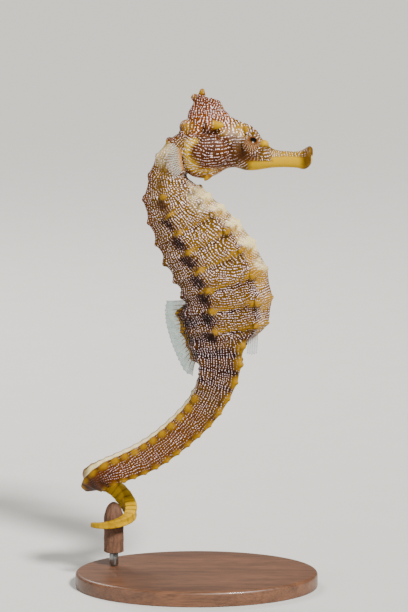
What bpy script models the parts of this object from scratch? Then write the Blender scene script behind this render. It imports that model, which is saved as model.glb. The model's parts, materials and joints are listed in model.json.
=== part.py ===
"""Lined seahorse: an adult female as a still, life-size display model, tail round a cut branch on a stand.

The animal faces +X with its back to -X and its right side to -Y. The floor is z = 0 and the origin is the
centre of the stand's underside. Lengths are in millimetres until solid() turns them into metres.

The body is one sweep: a spine runs from inside the head down the neck, trunk and tail and once and a fifth
round the branch, and bony rings stand on it. It is parted into lengths in the hollows between rings.
"""

import math
from collections import namedtuple

import bmesh
import bpy
import numpy as np
from mathutils import Matrix, Vector

MM = 0.001
GAP = 0.3  # between pieces that touch

# Driving sizes of the animal and of its stand.
TRUNK_RINGS = 11
TAIL_RINGS = 36
LARGE_EVERY = 3  # rings 1, 4, 7 and 10 carry the large knobs
COIL_X, COIL_Y = -22.0, 5.3
PERCH_RADIUS = 2.75
PERCH_FOOT, PERCH_TOP = 8.0, 21.4
BASE_LENGTH, BASE_DEPTH, BASE_THICK = 64.0, 44.0, 4.0
ROD_RADIUS = 1.2
EYE = Vector((14.0, 2.9, 116.9))
EYE_RADIUS = 2.45

# Where the spine lies, and how far the skin is from it towards the back, the belly and either side.
Station = namedtuple("Station", "x z back belly side")
BODY = [
    Station(0.1, 118.2, 3.0, 3.0, 3.0),  # inside the head
    Station(-2.7, 116.9, 4.0, 4.4, 3.4),
    Station(-5.3, 114.3, 4.2, 4.8, 3.7),  # ring 1, on the nape
    Station(-7.7, 110.6, 4.2, 5.5, 4.1),
    Station(-8.3, 107.1, 4.8, 7.5, 4.6),
    Station(-7.7, 103.5, 6.3, 9.5, 5.2),  # ring 4, the shoulder
    Station(-5.9, 99.0, 7.0, 10.8, 5.8),
    Station(-1.2, 90.6, 8.3, 13.8, 6.7),  # ring 7
    Station(3.8, 80.3, 8.0, 15.3, 7.2),
    Station(5.1, 74.9, 8.0, 14.9, 6.9),  # ring 10, where the dorsal fin begins
    Station(5.8, 69.8, 7.8, 13.3, 6.3),
    Station(6.15, 67.0, 7.5, 11.2, 5.8),  # the vent, where the keel ends
    Station(6.3, 65.2, 7.1, 7.6, 5.3),
    Station(6.4, 63.3, 6.5, 6.6, 5.0),  # first ring of the tail
    Station(5.5, 55.3, 5.0, 5.0, 4.6),
    Station(2.0, 48.2, 4.4, 4.4, 4.2),
    Station(-3.6, 42.1, 4.1, 4.0, 4.0),
    Station(-13.0, 35.1, 3.7, 3.9, 3.8),
    Station(-22.0, 31.2, 3.4, 3.6, 3.6),  # over the branch
]
# The grip: turn about the branch in degrees, height, distance from the branch's axis, and half thicknesses.
Grip = namedtuple("Grip", "turn height reach thick side")
COIL = [
    Grip(0, 31.2, 5.3, 3.5, 3.6),
    Grip(45, 29.1, 5.3, 3.1, 3.3),
    Grip(90, 27.2, 5.4, 3.0, 2.8),
    Grip(150, 25.6, 5.1, 2.5, 2.4),
    Grip(190, 23.6, 5.0, 2.1, 2.05),
    Grip(235, 19.9, 4.8, 1.8, 1.7),
    Grip(285, 18.0, 4.6, 1.5, 1.4),
    Grip(360, 16.4, 4.5, 1.15, 1.1),
    Grip(435, 15.5, 5.6, 0.75, 0.7),
]
# Half of a cross-section from the middle of the back to the middle of the belly, as shares of side and of
# back or belly. Places 1, 3 and 5 are the upper, side and lower ridges, and 7 is the keel.
TRUNK_SECTION = [(0, 0.93), (0.45, 1), (0.8, 0.62), (1, 0.12), (0.97, -0.35), (0.8, -0.74), (0.42, -0.9), (0, -1)]
TAIL_SECTION = [(0, 0.9), (0.84, 1), (0.95, 0.5), (0.98, 0), (0.95, -0.5), (0.84, -1), (0.42, -0.93), (0, -0.9)]
VALLEY = 0.05  # how far the skin sinks between two rings, as a share of the radius
KNOB = {1: 0.5, 3: 0.4, 5: 0.45, 7: 0.25}  # height of each ridge's knob on a ring
LARGE_KNOB = 1.6  # the large knobs are this many times higher

# Cross-sections of the head from the mouth back: top, bottom, height of the widest place, half width, and
# how far the crown and the chin narrow.
Slice = namedtuple("Slice", "x top bottom wide side crown chin")
HEAD = [
    Slice(30.0, 115.8, 112.9, 114.4, 1.0, 0.0, 0.0),  # rim of the mouth
    Slice(29.6, 116.4, 112.0, 114.2, 1.5, 0.0, 0.0),
    Slice(28.8, 116.4, 111.0, 113.8, 1.9, 0.0, 0.0),
    Slice(27.6, 115.7, 110.5, 113.4, 1.9, 0.0, 0.0),
    Slice(26.3, 115.2, 110.8, 113.3, 1.7, 0.0, 0.0),
    Slice(23.8, 115.2, 111.0, 113.3, 1.6, 0.0, 0.0),
    Slice(21.2, 115.4, 111.0, 113.3, 1.7, 0.0, 0.0),
    Slice(19.4, 116.0, 110.9, 113.5, 2.0, 0.1, 0.0),
    Slice(17.4, 117.8, 110.6, 113.9, 2.5, 0.3, 0.1),
    Slice(15.5, 120.2, 110.3, 114.6, 3.1, 0.35, 0.15),
    Slice(13.8, 121.6, 110.2, 115.3, 3.6, 0.35, 0.2),
    Slice(12.1, 122.2, 110.4, 115.6, 3.9, 0.35, 0.25),
    Slice(10.0, 123.2, 111.0, 115.7, 4.3, 0.35, 0.3),
    Slice(7.9, 124.1, 110.7, 115.6, 4.8, 0.4, 0.3),
    Slice(5.3, 124.5, 109.2, 115.3, 5.4, 0.45, 0.3),
    Slice(2.7, 124.7, 108.2, 115.0, 5.8, 0.45, 0.3),
    Slice(0.1, 124.7, 108.4, 114.8, 5.8, 0.45, 0.3),
    Slice(-1.7, 124.0, 109.1, 114.8, 5.3, 0.45, 0.3),
    Slice(-2.7, 121.2, 110.1, 114.7, 4.7, 0.4, 0.2),
    Slice(-3.5, 118.6, 111.5, 114.8, 3.7, 0.3, 0.1),
    Slice(-4.0, 116.6, 113.0, 114.8, 2.1, 0.2, 0.0),  # hind edge of the gill cover
]
HEAD_SIDES = 20
SNOUT_CUT = 19.6
MOUTH_DEPTH, MOUTH_SHARE = 1.4, 0.55
GILL_CENTRE, GILL_RADII, GILL_INNER = Vector((2.4, 0, 115.1)), (5.9, 4.8), 3.0

# The coronet, from inside the crown of the head up to its dished top: height at the back and at the front,
# where it begins and ends, and half width.
Tier = namedtuple("Tier", "back_z front_z back front side")
CORONET = [
    Tier(122.4, 122.4, -2.2, 8.8, 3.1),
    Tier(124.9, 124.6, -2.2, 8.5, 2.8),
    Tier(126.6, 125.6, -1.3, 7.4, 2.3),
    Tier(128.0, 126.8, -0.6, 6.8, 2.0),
    Tier(129.2, 127.7, -0.4, 6.3, 1.9),
    Tier(129.9, 128.3, -0.7, 5.9, 1.95),
]
CORONET_SIDES = 12
# Points of its rim: place, lean and length.
CORONET_POINTS = [
    ((-0.3, 0, 129.3), (-0.8, 0, 0.4), 0.9),
    ((1.4, 0.7, 129.4), (0.05, 0.15, 1.0), 1.9),
    ((4.0, 1.3, 128.1), (0.15, 0.5, 0.8), 0.8),
    ((5.6, 0, 127.6), (0.7, 0, 0.6), 0.7),
]
POINT_RADIUS = 1.0

DORSAL_RAYS, ANAL_RAYS, PECTORAL_RAYS = 18, 4, 15
FIN_THICK = 0.5


# ---- measuring along the body ------------------------------------------------------------------------------

def eased(at, places, values):
    """A smooth curve through values at places, with each slope taken from the neighbours."""
    places, values = np.asarray(places, float), np.asarray(values, float)
    slopes = np.gradient(values, places)
    low = np.clip(np.searchsorted(places, at) - 1, 0, len(places) - 2)
    step = places[low + 1] - places[low]
    t = (at - places[low]) / step
    start = (1 + 2 * t) * (1 - t) ** 2 * values[low] + t * (1 - t) ** 2 * step * slopes[low]
    end = t * t * (3 - 2 * t) * values[low + 1] - t * t * (1 - t) * step * slopes[low + 1]
    return start + end


def smoothstep(low, high, at):
    t = np.clip((at - low) / (high - low), 0, 1)
    return t * t * (3 - 2 * t)


def unit(rows):
    return rows / np.linalg.norm(rows, axis=-1, keepdims=True)


class Spine:
    """The line through the body, with its length from the head, its frame and the skin's distances."""

    SAMPLES = 400
    ROUNDING = 9  # samples over which the join of the trunk's line and the coil's is rounded

    def __init__(self):
        down = self.straight_part()
        round_perch = self.coiled_part()
        rows = np.vstack([down[:-1], round_perch])
        for _ in range(3):
            rows[:, :3] = self.rounded(rows[:, :3])
        steps = np.linalg.norm(np.diff(rows[:, :3], axis=0), axis=1)
        self.length = np.concatenate([[0], np.cumsum(steps)])
        self.place, self.sizes, self.roll = rows[:, :3], rows[:, 3:6], rows[:, 6]
        self.along = unit(np.gradient(self.place, self.length, axis=0))
        self.vent = self.length[np.argmin(np.abs(down[:, 2] - BODY[11].z))]

    def straight_part(self):
        table = np.array(BODY)
        chord = np.concatenate([[0], np.cumsum(np.hypot(*np.diff(table[:, :2], axis=0).T))])
        at = np.linspace(0, chord[-1], self.SAMPLES)
        x, z, back, belly, side = (eased(at, chord, column) for column in table.T)
        return np.column_stack([x, 0 * x, z, back, belly, side, 0 * x])

    def coiled_part(self):
        table = np.array(COIL, float)
        turn = np.linspace(0, table[-1, 0], self.SAMPLES)
        height, reach, thick, side = (eased(turn, table[:, 0], column) for column in table[:, 1:].T)
        angle = np.radians(turn)
        x = COIL_X - reach * np.sin(angle)
        y = COIL_Y - reach * np.cos(angle)
        roll = smoothstep(-10, 170, turn) - smoothstep(-10, 170, 0)
        return np.column_stack([x, y, height, thick, thick, side, roll])

    def rounded(self, line):
        wide = np.pad(line, ((self.ROUNDING, self.ROUNDING), (0, 0)), mode="edge")
        kernel = np.ones(2 * self.ROUNDING + 1) / (2 * self.ROUNDING + 1)
        soft = np.column_stack([np.convolve(column, kernel, "valid") for column in wide.T])
        inner = np.minimum(np.arange(len(line)), np.arange(len(line))[::-1]) / self.ROUNDING
        share = np.clip(inner, 0, 1)[:, None]
        return line * (1 - share) + soft * share

    def at(self, s):
        """Place, along, back and right-hand directions, and the three distances, at a length s."""
        place = np.array([np.interp(s, self.length, column) for column in self.place.T])
        along = unit(np.array([np.interp(s, self.length, column) for column in self.along.T]))
        sizes = [float(np.interp(s, self.length, column)) for column in self.sizes.T]
        roll = np.interp(s, self.length, self.roll)
        in_plane = unit(np.array([along[2], 0, -along[0]]))
        outward = unit(np.array([place[0] - COIL_X, place[1] - COIL_Y, 0]))
        back = in_plane * (1 - roll) + outward * roll
        back = unit(back - along * (back @ along))
        return place, along, back, np.cross(back, along), sizes


def ring_places(spine):
    """Lengths of all the rings: the trunk's widen to the belly, and the tail's shorten to the tip."""
    first = 5.4  # ring 1 on the nape
    trunk_steps = 3.8 + 1.8 * smoothstep(0, 6, np.arange(TRUNK_RINGS - 1))
    trunk_steps *= (spine.vent - 2.0 - first) / trunk_steps.sum()
    tail_start = spine.vent + 2.4
    shares = 0.966 ** np.arange(TAIL_RINGS - 1)
    tail_steps = shares * (spine.length[-1] - 0.8 - tail_start) / shares.sum()
    trunk = first + np.concatenate([[0], np.cumsum(trunk_steps)])
    tail = tail_start + np.concatenate([[0], np.cumsum(tail_steps)])
    return np.concatenate([trunk, tail])


SPINE = Spine()
RINGS = ring_places(SPINE)


def ring_share(s):
    """1 on a ring and 0 in the hollow between two, and the number of the nearest ring."""
    nearest = int(np.argmin(np.abs(RINGS - s)))
    spacing = np.interp(s, RINGS[:-1], np.diff(RINGS))
    return float(np.clip(1 - 2.6 * abs(RINGS[nearest] - s) / spacing, 0, 1)), nearest


def body_section(s):
    """The points of the skin round the spine at a length s."""
    place, _, back, right, (back_size, belly_size, side_size) = SPINE.at(s)
    tail = smoothstep(SPINE.vent - 3, SPINE.vent + 9, s)
    half = np.array(TRUNK_SECTION) * (1 - tail) + np.array(TAIL_SECTION) * tail
    share, ring = ring_share(s)
    fullness = 1 - VALLEY * (1 - share)
    points = []
    for number, (across, up) in enumerate(half):
        depth = back_size if up > 0 else belly_size
        spot = np.array([across * side_size, up * depth]) * fullness
        if share == 1 and number in KNOB:
            large = LARGE_KNOB if ring % LARGE_EVERY == 0 and number < 5 else 1.0
            fading = side_size / 6 * (1 - tail if number in (3, 7) else 1)
            spot += unit(spot) * KNOB[number] * large * fading
        points.append(spot)
    points += [spot * (-1, 1) for spot in points[-2:0:-1]]
    return [place + right * across + back * up for across, up in points]


# ---- making solids -----------------------------------------------------------------------------------------

def clear_scene():
    for item in list(bpy.data.objects):
        bpy.data.objects.remove(item)


def material(name, colour, roughness, metallic=0.0, alpha=1.0):
    made = bpy.data.materials.new(name)
    made.use_nodes = True
    shader = made.node_tree.nodes["Principled BSDF"]
    shader.inputs["Base Color"].default_value = (*colour, 1)
    shader.inputs["Roughness"].default_value = roughness
    shader.inputs["Metallic"].default_value = metallic
    shader.inputs["Alpha"].default_value = alpha
    return made


def solid(name, mesh_maker, finish=None):
    """An object from a bmesh in millimetres, facing out, in metres."""
    mesh_maker.transform(Matrix.Scale(MM, 4))
    bmesh.ops.recalc_face_normals(mesh_maker, faces=mesh_maker.faces)
    mesh = bpy.data.meshes.new(name)
    mesh_maker.to_mesh(mesh)
    mesh_maker.free()
    made = bpy.data.objects.new(name, mesh)
    bpy.context.scene.collection.objects.link(made)
    if finish:
        mesh.materials.append(finish)
    mesh.shade_smooth()
    mesh.set_sharp_from_angle(angle=math.radians(40))
    return made


def loft(sections, pointed_end=None):
    """A closed skin through equal loops of points, with a flat face at each open end."""
    made = bmesh.new()
    loops = [[made.verts.new(point) for point in section] for section in sections]
    for near, far in zip(loops, loops[1:]):
        for i in range(len(near)):
            j = (i + 1) % len(near)
            made.faces.new((near[i], near[j], far[j], far[i]))
    made.faces.new(loops[0])
    if pointed_end is None:
        made.faces.new(loops[-1])
    else:
        tip = made.verts.new(pointed_end)
        last = loops[-1]
        for i in range(len(last)):
            made.faces.new((last[i], last[(i + 1) % len(last)], tip))
    return made


def cut(target, tool, operation="DIFFERENCE"):
    """Cuts or joins with another object, which is then removed."""
    step = target.modifiers.new(operation.lower(), "BOOLEAN")
    step.operation = operation
    step.object = tool
    bpy.context.view_layer.update()
    changed = bpy.data.meshes.new_from_object(target.evaluated_get(bpy.context.evaluated_depsgraph_get()))
    target.modifiers.clear()
    target.data = changed
    bpy.data.objects.remove(tool)


def cone(foot, lean, length, radius, sunk=0.6, tip_share=0.3):
    """A blunt spine that starts a little under the skin at foot and points along lean."""
    made = bmesh.new()
    total = length + sunk
    bmesh.ops.create_cone(
        made, cap_ends=True, segments=8, radius1=radius, radius2=radius * tip_share, depth=total
    )
    direction = Vector(lean).normalized()
    turn = direction.to_track_quat("Z", "Y").to_matrix().to_4x4()
    middle = Vector(foot) + direction * (total / 2 - sunk)
    made.transform(Matrix.Translation(middle) @ turn)
    return made


def ball(centre, radii, across=14, up=9):
    made = bmesh.new()
    bmesh.ops.create_uvsphere(made, u_segments=across, v_segments=up, radius=1)
    made.transform(Matrix.Translation(centre) @ Matrix.Diagonal((*radii, 1)))
    return made


def both_sides(point):
    """The same place on the right (-Y) and on the left side of the animal."""
    x, y, z = point
    return ((x, -y, z), (x, y, z))


# ---- neck, trunk and tail ----------------------------------------------------------------------------------

# Each length of the body ends in the hollow after the ring of this number.
LENGTHS = [
    ("neck", 3),
    ("trunk_upper", 7),
    ("trunk_lower", 11),
    ("tail_1", 16),
    ("tail_2", 21),
    ("tail_3", 26),
    ("tail_4", 30),
    ("tail_5", 34),
    ("tail_6", 39),
]


def hollow_after(ring):
    return (RINGS[ring - 1] + RINGS[ring]) / 2


def body_length(name, start, end, finish, to_tip=False):
    """One length of the body, with a section on each ring and two in each hollow."""
    places = [start]
    for number, ring in enumerate(RINGS[:-1]):
        spacing = RINGS[number + 1] - ring
        fine = (-0.4, 0, 0.4) if number < 30 else (0, 0.5)
        places += [ring + share * spacing for share in fine]
    inside = [place for place in sorted(places) if start + 0.25 < place < end - 0.25]
    sections = [body_section(s) for s in [start, *inside, end]]
    tip = SPINE.place[-1] + SPINE.along[-1] * 0.4 if to_tip else None
    return solid(name, loft(sections, tip), finish)


def make_body(finish):
    lengths = {}
    start = 0.0
    for name, last_ring in LENGTHS:
        end = hollow_after(last_ring)
        lengths[name] = body_length(name, start + GAP / 2, end - GAP / 2, finish)
        start = end
    body_length("tail_tip", start + GAP / 2, SPINE.length[-1], finish, to_tip=True)
    return lengths


# ---- head --------------------------------------------------------------------------------------------------

def head_section(cross, grow=0.0, shrink=1.0):
    """A loop of points round one slice of the head, swollen by grow or shrunk about its middle."""
    loop = []
    for i in range(HEAD_SIDES):
        angle = 2 * math.pi * i / HEAD_SIDES
        up, across = math.sin(angle), math.cos(angle)
        narrow = 1 - (cross.crown if up > 0 else cross.chin) * abs(up) ** 1.2
        height = (cross.top - cross.wide if up > 0 else cross.wide - cross.bottom) + grow
        y = (cross.side + grow) * math.copysign(abs(across) ** 0.9, across) * narrow * shrink
        loop.append((cross.x, y, cross.wide + height * up * shrink))
    return loop


def head_between(front, rear, grow=0.0):
    """The head's slices from front to rear, with a slice worked out at each end that falls between two."""
    table = np.array(HEAD)[::-1]
    inside = [x for x in table[:, 0] if rear < x < front]
    ends = [x for x in (rear, front) if table[0, 0] < x < table[-1, 0]]
    xs = sorted({*inside, *ends, *[x for x in (table[0, 0], table[-1, 0]) if rear <= x <= front]}, reverse=True)
    columns = [np.interp(xs, table[:, 0], column) for column in table.T]
    return [head_section(Slice(*row), grow) for row in zip(*columns)]


def make_snout(finish):
    """The tube from the cheeks to the flared lips, with a shallow mouth."""
    outside = head_between(HEAD[0].x, SNOUT_CUT + GAP / 2)
    rim = HEAD[0]
    inside = [head_section(rim, shrink=MOUTH_SHARE)]
    floor = rim._replace(x=rim.x - MOUTH_DEPTH)
    inside.insert(0, head_section(floor, shrink=MOUTH_SHARE * 0.7))
    return solid("snout", loft([*inside, *outside]), finish)


def gill_cutter(side, grow):
    """An oval prism over one cheek, from inside the head outwards."""
    made = bmesh.new()
    depth = 8.0
    bmesh.ops.create_cone(made, cap_ends=True, segments=24, radius1=1, radius2=1, depth=depth)
    turn = Matrix.Rotation(math.radians(90), 4, "X")
    size = Matrix.Diagonal((GILL_RADII[0] + grow, 1, GILL_RADII[1] + grow, 1))
    middle = GILL_CENTRE + Vector((0, side * (GILL_INNER - grow + depth / 2), 0))
    made.transform(Matrix.Translation(middle) @ size @ turn)
    return solid("gill_cutter", made)


def add_head_spines(head, grow=0.0):
    """Knobs and spines that grow from the head: nape, nose, brow, crown side and cheek."""
    shapes = [
        ball((-2.5, 0, 121.4), (1.9 + grow, 2.6 + grow, 2.0 + grow)),
        cone((17.6, 0, 117.0), (0.8, 0, 0.55), 1.1 + grow, 1.1 + grow),
    ]
    for side in (-1, 1):
        shapes.append(cone((12.6, side * 2.1, 121.3), (-0.15, side * 0.3, 1), 1.0 + grow, 0.9 + grow))
        crown_side = cone((5.2, side * 3.3, 122.0), (0.8, side * 0.5, 0.0), 1.9 + grow, 1.3 + grow, 1.6, 0.45)
        shapes.append(crown_side)
        shapes.append(cone((3.0, side * 2.2, 108.9), (-0.6, side * 0.35, -0.7), 1.5 + grow, 0.95 + grow, 1.2))
    for shape in shapes:
        cut(head, solid("spine", shape), "UNION")


def orbit(side):
    """The raised rim of flesh round one eye."""
    made = bmesh.new()
    height = 2.4
    bmesh.ops.create_cone(made, cap_ends=True, segments=16, radius1=3.3, radius2=2.5, depth=height)
    turn = Matrix.Rotation(math.radians(-90 * side), 4, "X")
    middle = Vector((EYE.x, side * (EYE.y + 0.3), EYE.z))
    made.transform(Matrix.Translation(middle) @ turn)
    return solid("orbit", made)


def make_head(finish, eye_finish):
    head = solid("head", loft(head_between(SNOUT_CUT - GAP / 2, HEAD[-1].x)), finish)
    add_head_spines(head)
    for side, name in ((-1, "right"), (1, "left")):
        cut(head, orbit(side), "UNION")
        centre = Vector((EYE.x, side * EYE.y, EYE.z))
        cut(head, solid("socket", ball(centre, [EYE_RADIUS + GAP] * 3)))
        solid(f"eye_{name}", ball(centre, [EYE_RADIUS] * 3), eye_finish)
        cover = solid(f"gill_cover_{name}", loft(head_between(SNOUT_CUT, HEAD[-1].x)), finish)
        cut(cover, gill_cutter(side, 0), "INTERSECT")
        cut(head, gill_cutter(side, GAP))
    return head


def grown_head(grow=GAP):
    """The whole head a little swollen, to cut what meets it."""
    swollen = solid("head_cutter", loft(head_between(SNOUT_CUT, HEAD[-1].x, grow)))
    add_head_spines(swollen, grow)
    return swollen


def make_coronet(finish):
    """A wedge on the crown, with a dished top and blunt points round its rim."""
    tiers = []
    for tier in CORONET:
        loop = []
        for i in range(CORONET_SIDES):
            angle = 2 * math.pi * i / CORONET_SIDES
            share = (1 + math.cos(angle)) / 2
            x = tier.back + (tier.front - tier.back) * share
            z = tier.back_z + (tier.front_z - tier.back_z) * share
            loop.append((x, tier.side * math.sin(angle) * (1.1 - 0.25 * share), z))
        tiers.append(loop)
    dish = Vector(np.mean(tiers[-1], axis=0)) - Vector((0, 0, 0.6))
    coronet = solid("coronet", loft(tiers, dish), finish)
    for foot, lean, length in CORONET_POINTS:
        for (x, y, z), (lx, ly, lz) in sorted(set(zip(both_sides(foot), both_sides(lean)))):
            cut(coronet, solid("point", cone((x, y, z), (lx, ly, lz), length, POINT_RADIUS, 1.0)), "UNION")
    cut(coronet, grown_head())
    return coronet


# ---- fins --------------------------------------------------------------------------------------------------

def fin(name, roots, tips, finish, ripple=0.0, steps=4):
    """A thin fan between matching root and tip points, scalloped at the edge between its rays."""
    made = bmesh.new()
    rows = []
    for number, (root, tip) in enumerate(zip(roots, tips)):
        root, tip = Vector(root), Vector(tip)
        wave = Vector((0, ripple * math.sin(number * 1.7), 0))
        reach = 1.0 if number % 2 == 0 else 0.96
        shares = [reach * i / (steps - 1) for i in range(steps)]
        rows.append([made.verts.new(root.lerp(tip, share) + wave * share * share) for share in shares])
    for near, far in zip(rows, rows[1:]):
        for i in range(steps - 1):
            made.faces.new((near[i], near[i + 1], far[i + 1], far[i]))
    sheet = solid(name, made, finish)
    thick = sheet.modifiers.new("thickness", "SOLIDIFY")
    thick.thickness = FIN_THICK * MM
    thick.offset = 0
    return sheet


def back_point(s, lift):
    """A place on the middle of the back at length s, lift outside the skin."""
    place, _, back, _, sizes = SPINE.at(s)
    return place + back * (0.93 * sizes[0] + lift)


def make_dorsal_fin(finish):
    """Rays stand on the last two trunk rings and the first of the tail, and trail towards its end."""
    start, end = RINGS[9] - 2.2, RINGS[11] + 2.4
    roots, tips = [], []
    for i in range(DORSAL_RAYS):
        t = i / (DORSAL_RAYS - 1)
        s = start + (end - start) * t
        _, along, back, _, _ = SPINE.at(s)
        lean = math.radians(-12 + 76 * t)
        length = 3.4 + 1.0 * t + 2.8 * math.sin(math.pi * t) ** 0.7
        root = back_point(s, 0.35)
        roots.append(root)
        tips.append(root + (back * math.cos(lean) + along * math.sin(lean)) * length)
    return fin("dorsal_fin", roots, tips, finish, ripple=0.15)


def make_anal_fin(finish):
    """A tiny fan behind the vent."""
    roots = [(14.6 + 1.3 * t, 0, 65.6 + 0.6 * t) for t in np.linspace(0, 1, ANAL_RAYS)]
    tips = [(14.2 + 2.0 * t, 0, 61.9 + 0.3 * math.sin(math.pi * t)) for t in np.linspace(0, 1, ANAL_RAYS)]
    return fin("anal_fin", roots, tips, finish)


def make_pectoral_fin(name, side, finish):
    """A small fan behind the gill cover, laid back along the neck."""
    roots, tips = [], []
    for i in range(PECTORAL_RAYS):
        t = i / (PECTORAL_RAYS - 1)
        root = Vector((-4.1 + 0.7 * t, side * 4.75, 116.0 - 4.6 * t))
        lean = math.radians(35 - 85 * t)
        length = 3.6 + 0.7 * math.sin(math.pi * t)
        tip = root + Vector((-math.cos(lean) * length, side * 0.9, math.sin(lean) * length))
        roots.append(root)
        tips.append(tip)
    return fin(name, roots, tips, finish, ripple=0.1)


# ---- branch and stand --------------------------------------------------------------------------------------

def make_perch(finish):
    """A short cut length of branch: sawn flat below, worn to a round end where the tail grips it."""
    sections = []
    dome = PERCH_TOP - 16.4
    for z in (*np.linspace(PERCH_FOOT, 16.4, 6), *(16.4 + dome * np.sin(np.radians((20, 40, 55, 68, 80))))):
        rise = max(0.0, (z - 16.4) / dome)
        radius = PERCH_RADIUS * math.sqrt(1 - rise * rise)
        loop = []
        for i in range(14):
            angle = 2 * math.pi * i / 14
            bark = 1 - 0.04 * (1 + math.sin(3 * angle + 0.5 * z)) / 2
            loop.append((COIL_X + radius * bark * math.cos(angle), COIL_Y + radius * bark * math.sin(angle), z))
        sections.append(loop)
    return solid("perch", loft(sections, (COIL_X, COIL_Y, PERCH_TOP)), finish)


def disc(centre, radius, height, segments):
    made = bmesh.new()
    bmesh.ops.create_cone(made, cap_ends=True, segments=segments, radius1=radius, radius2=radius, depth=height)
    made.transform(Matrix.Translation(centre))
    return made


def make_stand(wood, steel):
    """A flat oval base and one short rod up to the branch."""
    foot, top = BASE_THICK + GAP, PERCH_FOOT - GAP
    solid("stand_rod", disc((COIL_X, COIL_Y, (foot + top) / 2), ROD_RADIUS, top - foot, 20), steel)
    shape = disc((0, 0, 0), 1, BASE_THICK, 56)
    shape.transform(Matrix.Diagonal((BASE_LENGTH / 2, BASE_DEPTH / 2, 1, 1)))
    shape.transform(Matrix.Translation((0, 0, BASE_THICK / 2)))
    base = solid("stand_base", shape, wood)
    edge = base.modifiers.new("rounded_edge", "BEVEL")
    edge.width = 0.8 * MM
    edge.segments = 2
    edge.limit_method = "ANGLE"
    return base


def main():
    clear_scene()
    skin = material("ringed_skin", (0.36, 0.19, 0.06), 0.55)
    yellow = material("snout_skin", (0.72, 0.5, 0.07), 0.5)
    eye = material("eye", (0.06, 0.035, 0.02), 0.15)
    web = material("fin_web", (0.62, 0.66, 0.6), 0.4, alpha=0.5)
    bark = material("branch_bark", (0.1, 0.06, 0.035), 0.8)
    wood = material("base_wood", (0.2, 0.11, 0.06), 0.45)
    steel = material("rod_steel", (0.6, 0.6, 0.6), 0.3, metallic=1.0)

    lengths = make_body(skin)
    make_head(skin, eye)
    make_snout(yellow)
    make_coronet(skin)
    cut(lengths["neck"], grown_head())
    make_dorsal_fin(web)
    make_anal_fin(web)
    make_pectoral_fin("pectoral_fin_right", -1, web)
    make_pectoral_fin("pectoral_fin_left", 1, web)
    make_perch(bark)
    make_stand(wood, steel)


main()
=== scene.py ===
# %% [markdown]
# # A lined seahorse on its display stand
# A seahorse is a fish in armour: bony rings under a thin skin, a tube snout, and a tail that grips. This
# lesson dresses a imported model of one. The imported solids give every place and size, and the pieces made here
# lie on them: one unbroken skin, two eyes, four fins, and the stand with its twig.

# %% Load the frame
import json
import math
from collections import namedtuple

import bmesh
import bpy
import numpy as np
from mathutils import Matrix, Vector
from mathutils.kdtree import KDTree

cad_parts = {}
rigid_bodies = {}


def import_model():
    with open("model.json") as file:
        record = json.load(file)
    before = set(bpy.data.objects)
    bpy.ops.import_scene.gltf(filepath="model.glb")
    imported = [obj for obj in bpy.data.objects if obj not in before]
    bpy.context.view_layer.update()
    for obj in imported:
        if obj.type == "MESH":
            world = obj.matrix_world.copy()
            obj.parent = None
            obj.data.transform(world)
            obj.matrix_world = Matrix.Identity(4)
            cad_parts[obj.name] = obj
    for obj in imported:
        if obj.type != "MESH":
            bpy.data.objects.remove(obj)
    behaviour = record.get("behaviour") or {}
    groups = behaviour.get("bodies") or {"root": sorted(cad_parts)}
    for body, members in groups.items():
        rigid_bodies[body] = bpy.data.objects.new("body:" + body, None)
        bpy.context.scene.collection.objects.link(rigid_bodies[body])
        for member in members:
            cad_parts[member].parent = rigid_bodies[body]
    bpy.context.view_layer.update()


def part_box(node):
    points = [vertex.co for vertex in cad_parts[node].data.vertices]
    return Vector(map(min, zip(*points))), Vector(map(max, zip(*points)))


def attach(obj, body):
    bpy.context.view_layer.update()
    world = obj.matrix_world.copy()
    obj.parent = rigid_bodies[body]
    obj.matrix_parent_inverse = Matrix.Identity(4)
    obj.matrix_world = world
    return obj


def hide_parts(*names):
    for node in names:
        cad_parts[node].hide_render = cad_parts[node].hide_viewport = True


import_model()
MM = 0.001

# %% [markdown]
# ## Helpers
# Later steps share these short functions. One reads a hex colour, a few set out shader nodes, and the rest
# make meshes from rows of points, in millimetres.


# %% Helpers for colours, nodes and meshes
def srgb(code):
    """A linear RGBA colour from a hex value such as "#A9742B"."""
    parts = [int(code[i:i + 2], 16) / 255 for i in (1, 3, 5)]
    return tuple(p / 12.92 if p <= 0.04045 else ((p + 0.055) / 1.055) ** 2.4 for p in parts) + (1.0,)


def fill(tree, node, inputs):
    """Links or sets each of a node's inputs, and reads a hex value as a colour."""
    for key, value in inputs.items():
        if isinstance(value, bpy.types.NodeSocket):
            tree.links.new(value, node.inputs[key])
        else:
            node.inputs[key].default_value = srgb(value) if str(value).startswith("#") else value
    return node


def add(tree, kind, inputs=None, **settings):
    """Adds a node, sets its properties, then links or sets its inputs."""
    node = tree.nodes.new(kind)
    for name, value in settings.items():
        setattr(node, name, value)
    return fill(tree, node, inputs or {})


def maths(tree, operation, *values):
    """What a sum on numbers gives."""
    return add(tree, "ShaderNodeMath", dict(enumerate(values)), operation=operation).outputs[0]


def vector_maths(tree, operation, *values):
    """What a sum on directions gives."""
    return add(tree, "ShaderNodeVectorMath", dict(enumerate(values)), operation=operation).outputs[0]


def spread(tree, value, low, high, first=0.0, last=1.0, **settings):
    """A number that goes from first to last while a value goes from low to high."""
    inputs = {"Value": value, "From Min": low, "From Max": high, "To Min": first, "To Max": last}
    return add(tree, "ShaderNodeMapRange", inputs, **settings).outputs[0]


def tint(tree, share, first, second):
    """A colour between two. Mix has inputs A and B for each kind of data, so they go by number."""
    return add(tree, "ShaderNodeMix", {0: share, 6: first, 7: second}, data_type="RGBA").outputs[2]


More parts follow.
